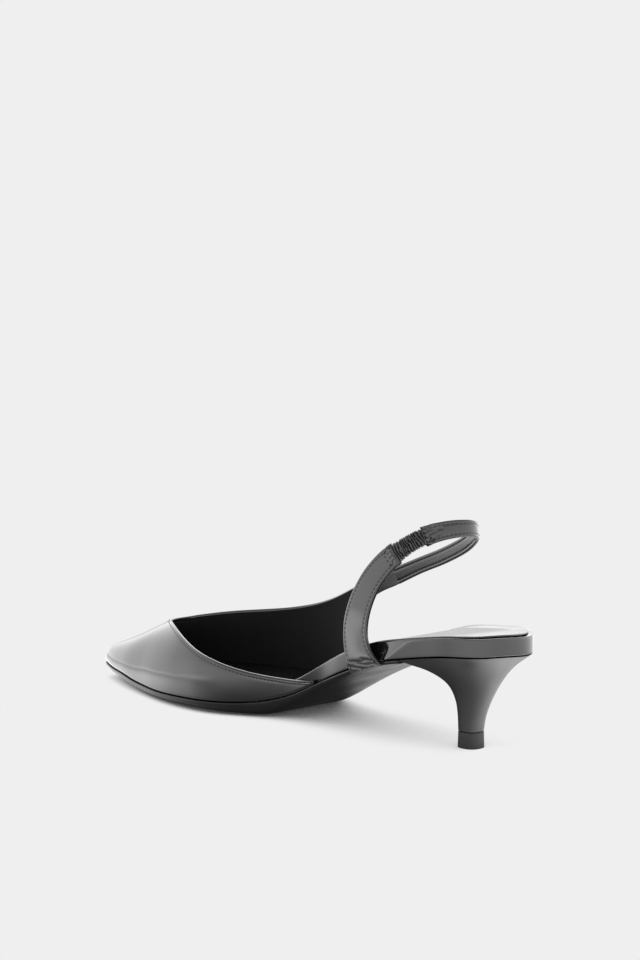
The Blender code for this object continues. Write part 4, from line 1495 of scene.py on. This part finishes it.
def dress():
    """Every piece of the shoe, over the solids that it stands for."""
    made_of = shoe_materials()
    patent, thread = made_of["patent_leather"], made_of["bonded_nylon"]
    strap_skins = [patent, made_of["strap_lining"]]

    shell, solid, finish, upper_paths = upper()
    skins = [patent, made_of["lining_microfibre"], made_of["strap_lining"]]
    upper_shell = make_piece("upper_shell", shell, solid, skins, finish, math.pi)
    smooth = upper_shell.modifiers.new("smooth", "SUBSURF")
    smooth.levels = smooth.render_levels = 1
    sole = make_piece("sole_shell", *outsole(), [made_of["sole_leather"]])
    wrap = make_piece("footbed_wrap", *footbed_wrap(), [patent])
    sock_sheet = make_piece("sock_sheet", *sock(), [made_of["sock_leather"]])
    heel_cover = make_piece("heel_cover", *heel(), [made_of["heel_patent"]])
    lift = make_piece("heel_lift", *top_piece(), [made_of["heel_rubber"]])

    near = (STRAP_FOOT_TRIM, ROW_RUNS[ELASTIC_START_ROW] - STRAP_TRIM)
    far = (ROW_RUNS[ELASTIC_END_ROW] + STRAP_TRIM, ROW_RUNS[-1] - STRAP_TRIM)
    lip_runs = np.array(LIP_RUNS)
    foot_end = near[0] + FOOT_RUN
    runs = [even_runs(near[0], foot_end, FOOT_STEP), even_runs(foot_end, near[1] - LIP_ROUND)[1:]]
    runs = np.concatenate([*runs, near[1] - lip_runs[::-1]])
    points, faces, finish = strap(runs, STRAP_THICKNESS, (False, True), creases=FOOT_CREASES)
    near_strap = make_piece("medial_band", points, faces, strap_skins, finish)
    lip_end = far[0] + FOOT_RUN
    runs = [even_runs(far[0] + LIP_ROUND, lip_end, FOOT_STEP), even_runs(lip_end, far[1])[1:]]
    runs = np.concatenate([far[0] + lip_runs, *runs])
    points, faces, finish = strap(runs, SLING_THICKNESS, (True, False), creases=LIP_CREASES)
    far_strap = make_piece("sling_band", points, faces, strap_skins, finish)
    elastic = gathered_elastic(near[1] - ELASTIC_TUCK, far[0] + ELASTIC_TUCK, made_of["gathered_cover"])

    rows = stitch_tree()
    upper_rows = stitching("upper_stitches", upper_paths, rows, thread)
    paths = []
    for (start, end), thickness in ((near, STRAP_THICKNESS), (far, SLING_THICKNESS)):
        for outward, crown in ((1, STRAP_CROWN), (-1, 0)):
            paths += strap_stitches(start + STITCH_END_GAP, end - STITCH_END_GAP, thickness, outward, crown)
    box_end = near[1] - LIP_LENGTH - BOX_STITCH_FROM_LIP
    paths.append(box_stitches(box_end - BOX_STITCH_GAP, box_end, STRAP_THICKNESS, STRAP_CROWN))
    sling_rows = stitching("strap_stitches", paths, rows, thread)

    for piece, slot, stands_for in (
        (upper_shell, "black_patent_leather", "upper"),
        (sole, "black_sole_leather", "outsole"),
        (wrap, "black_patent_leather", "footbed"),
        (sock_sheet, "black_sock_leather", "insole_sock"),
        (heel_cover, "black_patent_leather", "heel"),
        (lift, "black_rubber", "top_piece"),
        (near_strap, "black_patent_leather", "medial_strap"),
        (far_strap, "black_patent_leather", "sling_strap"),
        (elastic, "black_elastic", "elastic_sleeve"),
        (upper_rows, "black_elastic", None),
        (sling_rows, "black_elastic", None),
    ):
        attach(piece, "root")
        if stands_for:
            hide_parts(stands_for)


def add_camera():
    """The photograph's camera, with the heel's tip at its known pixel."""
    camera = bpy.data.cameras.new("camera")
    camera.sensor_fit = "VERTICAL"
    camera.sensor_height = SENSOR_HEIGHT
    camera.lens = FOCAL_PIXELS / IMAGE_SIZE[1] * SENSOR_HEIGHT
    right = Vector((math.cos(CAMERA_AZIMUTH), math.sin(CAMERA_AZIMUTH), 0))
    level = math.cos(CAMERA_ELEVATION)
    back = Vector((right.y * level, -right.x * level, math.sin(CAMERA_ELEVATION)))
    up = back.cross(right)
    across = (TIP_PIXEL[0] - IMAGE_SIZE[0] / 2) / FOCAL_PIXELS
    rise = (IMAGE_SIZE[1] / 2 - TIP_PIXEL[1]) / FOCAL_PIXELS
    tip = Vector(to_world(TIP_STATION, 0, 0))
    place = tip + CAMERA_DISTANCE * (back - across * right - rise * up)
    stand = add_object("camera", camera)
    stand.matrix_world = Matrix.Translation(place) @ Matrix((right, up, back)).transposed().to_4x4()
    bpy.context.scene.camera = stand


def add_studio():
    """A pale seamless floor, bright paper all round and a soft light overhead that the gloss doesn't see."""
    mesh = bpy.data.meshes.new("floor")
    corners = [(x * FLOOR_HALF, y * FLOOR_HALF, 0) for x, y in ((-1, -1), (1, -1), (1, 1), (-1, 1))]
    mesh.from_pydata(corners, [], [(0, 1, 2, 3)])
    mesh.materials.append(floor_paper())
    floor = add_object("floor", mesh)

    light = bpy.data.lights.new("top_light", "SUN")
    light.energy = TOP_LIGHT
    light.angle = TOP_LIGHT_ANGLE
    stand = add_object("top_light", light)
    stand.matrix_world = TOP_LIGHT_FROM.to_track_quat("Z", "Y").to_matrix().to_4x4()
    stand.visible_glossy = False

    world = bpy.data.worlds.new("studio")
    bpy.context.scene.world = world
    world.use_nodes = True
    tree = world.node_tree
    tree.nodes.clear()
    direction = node(tree, "ShaderNodeTexCoord").outputs["Generated"]
    height = node(tree, "ShaderNodeSeparateXYZ", {"Vector": direction}).outputs["Z"]
    ends = {"From Min": 0.0, "From Max": ROOM_TURN, "To Min": ROOM_LOW, "To Max": ROOM_HIGH}
    level = node(tree, MAP_RANGE, {"Value": height} | ends, interpolation_type="SMOOTHSTEP")
    ends = {"From Min": LOW_TO, "From Max": LOW_FROM, "To Min": 1.0, "To Max": 0.0}
    low = node(tree, MAP_RANGE, {"Value": height} | ends, interpolation_type="SMOOTHSTEP")
    dull = node(tree, MATH, {0: facing(tree, direction, BACK_WALL), 1: -BACK_WALL_DULL}, operation="MULTIPLY")
    window = facing(tree, direction, WINDOW)
    gain = node(tree, MATH, {0: window, 1: WINDOW_GAIN, 2: dull}, operation="MULTIPLY_ADD")
    change = node(tree, MATH, {0: gain, 1: low, 2: 1.0}, operation="MULTIPLY_ADD")
    walls = node(tree, MATH, {0: level, 1: change}, operation="MULTIPLY")
    softbox = facing(tree, direction, SOFTBOX)
    strength = node(tree, MATH, {0: softbox, 1: SOFTBOX_LIGHT, 2: walls}, operation="MULTIPLY_ADD")
    seen = node(tree, "ShaderNodeLightPath").outputs["Is Camera Ray"]
    room = node(tree, "ShaderNodeBackground", {"Color": WHITE, "Strength": strength})
    paper = node(tree, "ShaderNodeBackground", {"Color": linear(BACKDROP), "Strength": 1.0})
    both = node(tree, "ShaderNodeMixShader", {"Fac": seen, 1: room, 2: paper})
    node(tree, "ShaderNodeOutputWorld", {"Surface": both})
    bpy.context.scene.view_settings.view_transform = "Standard"


add_camera()
add_studio()
dress()
bpy.context.view_layer.update()
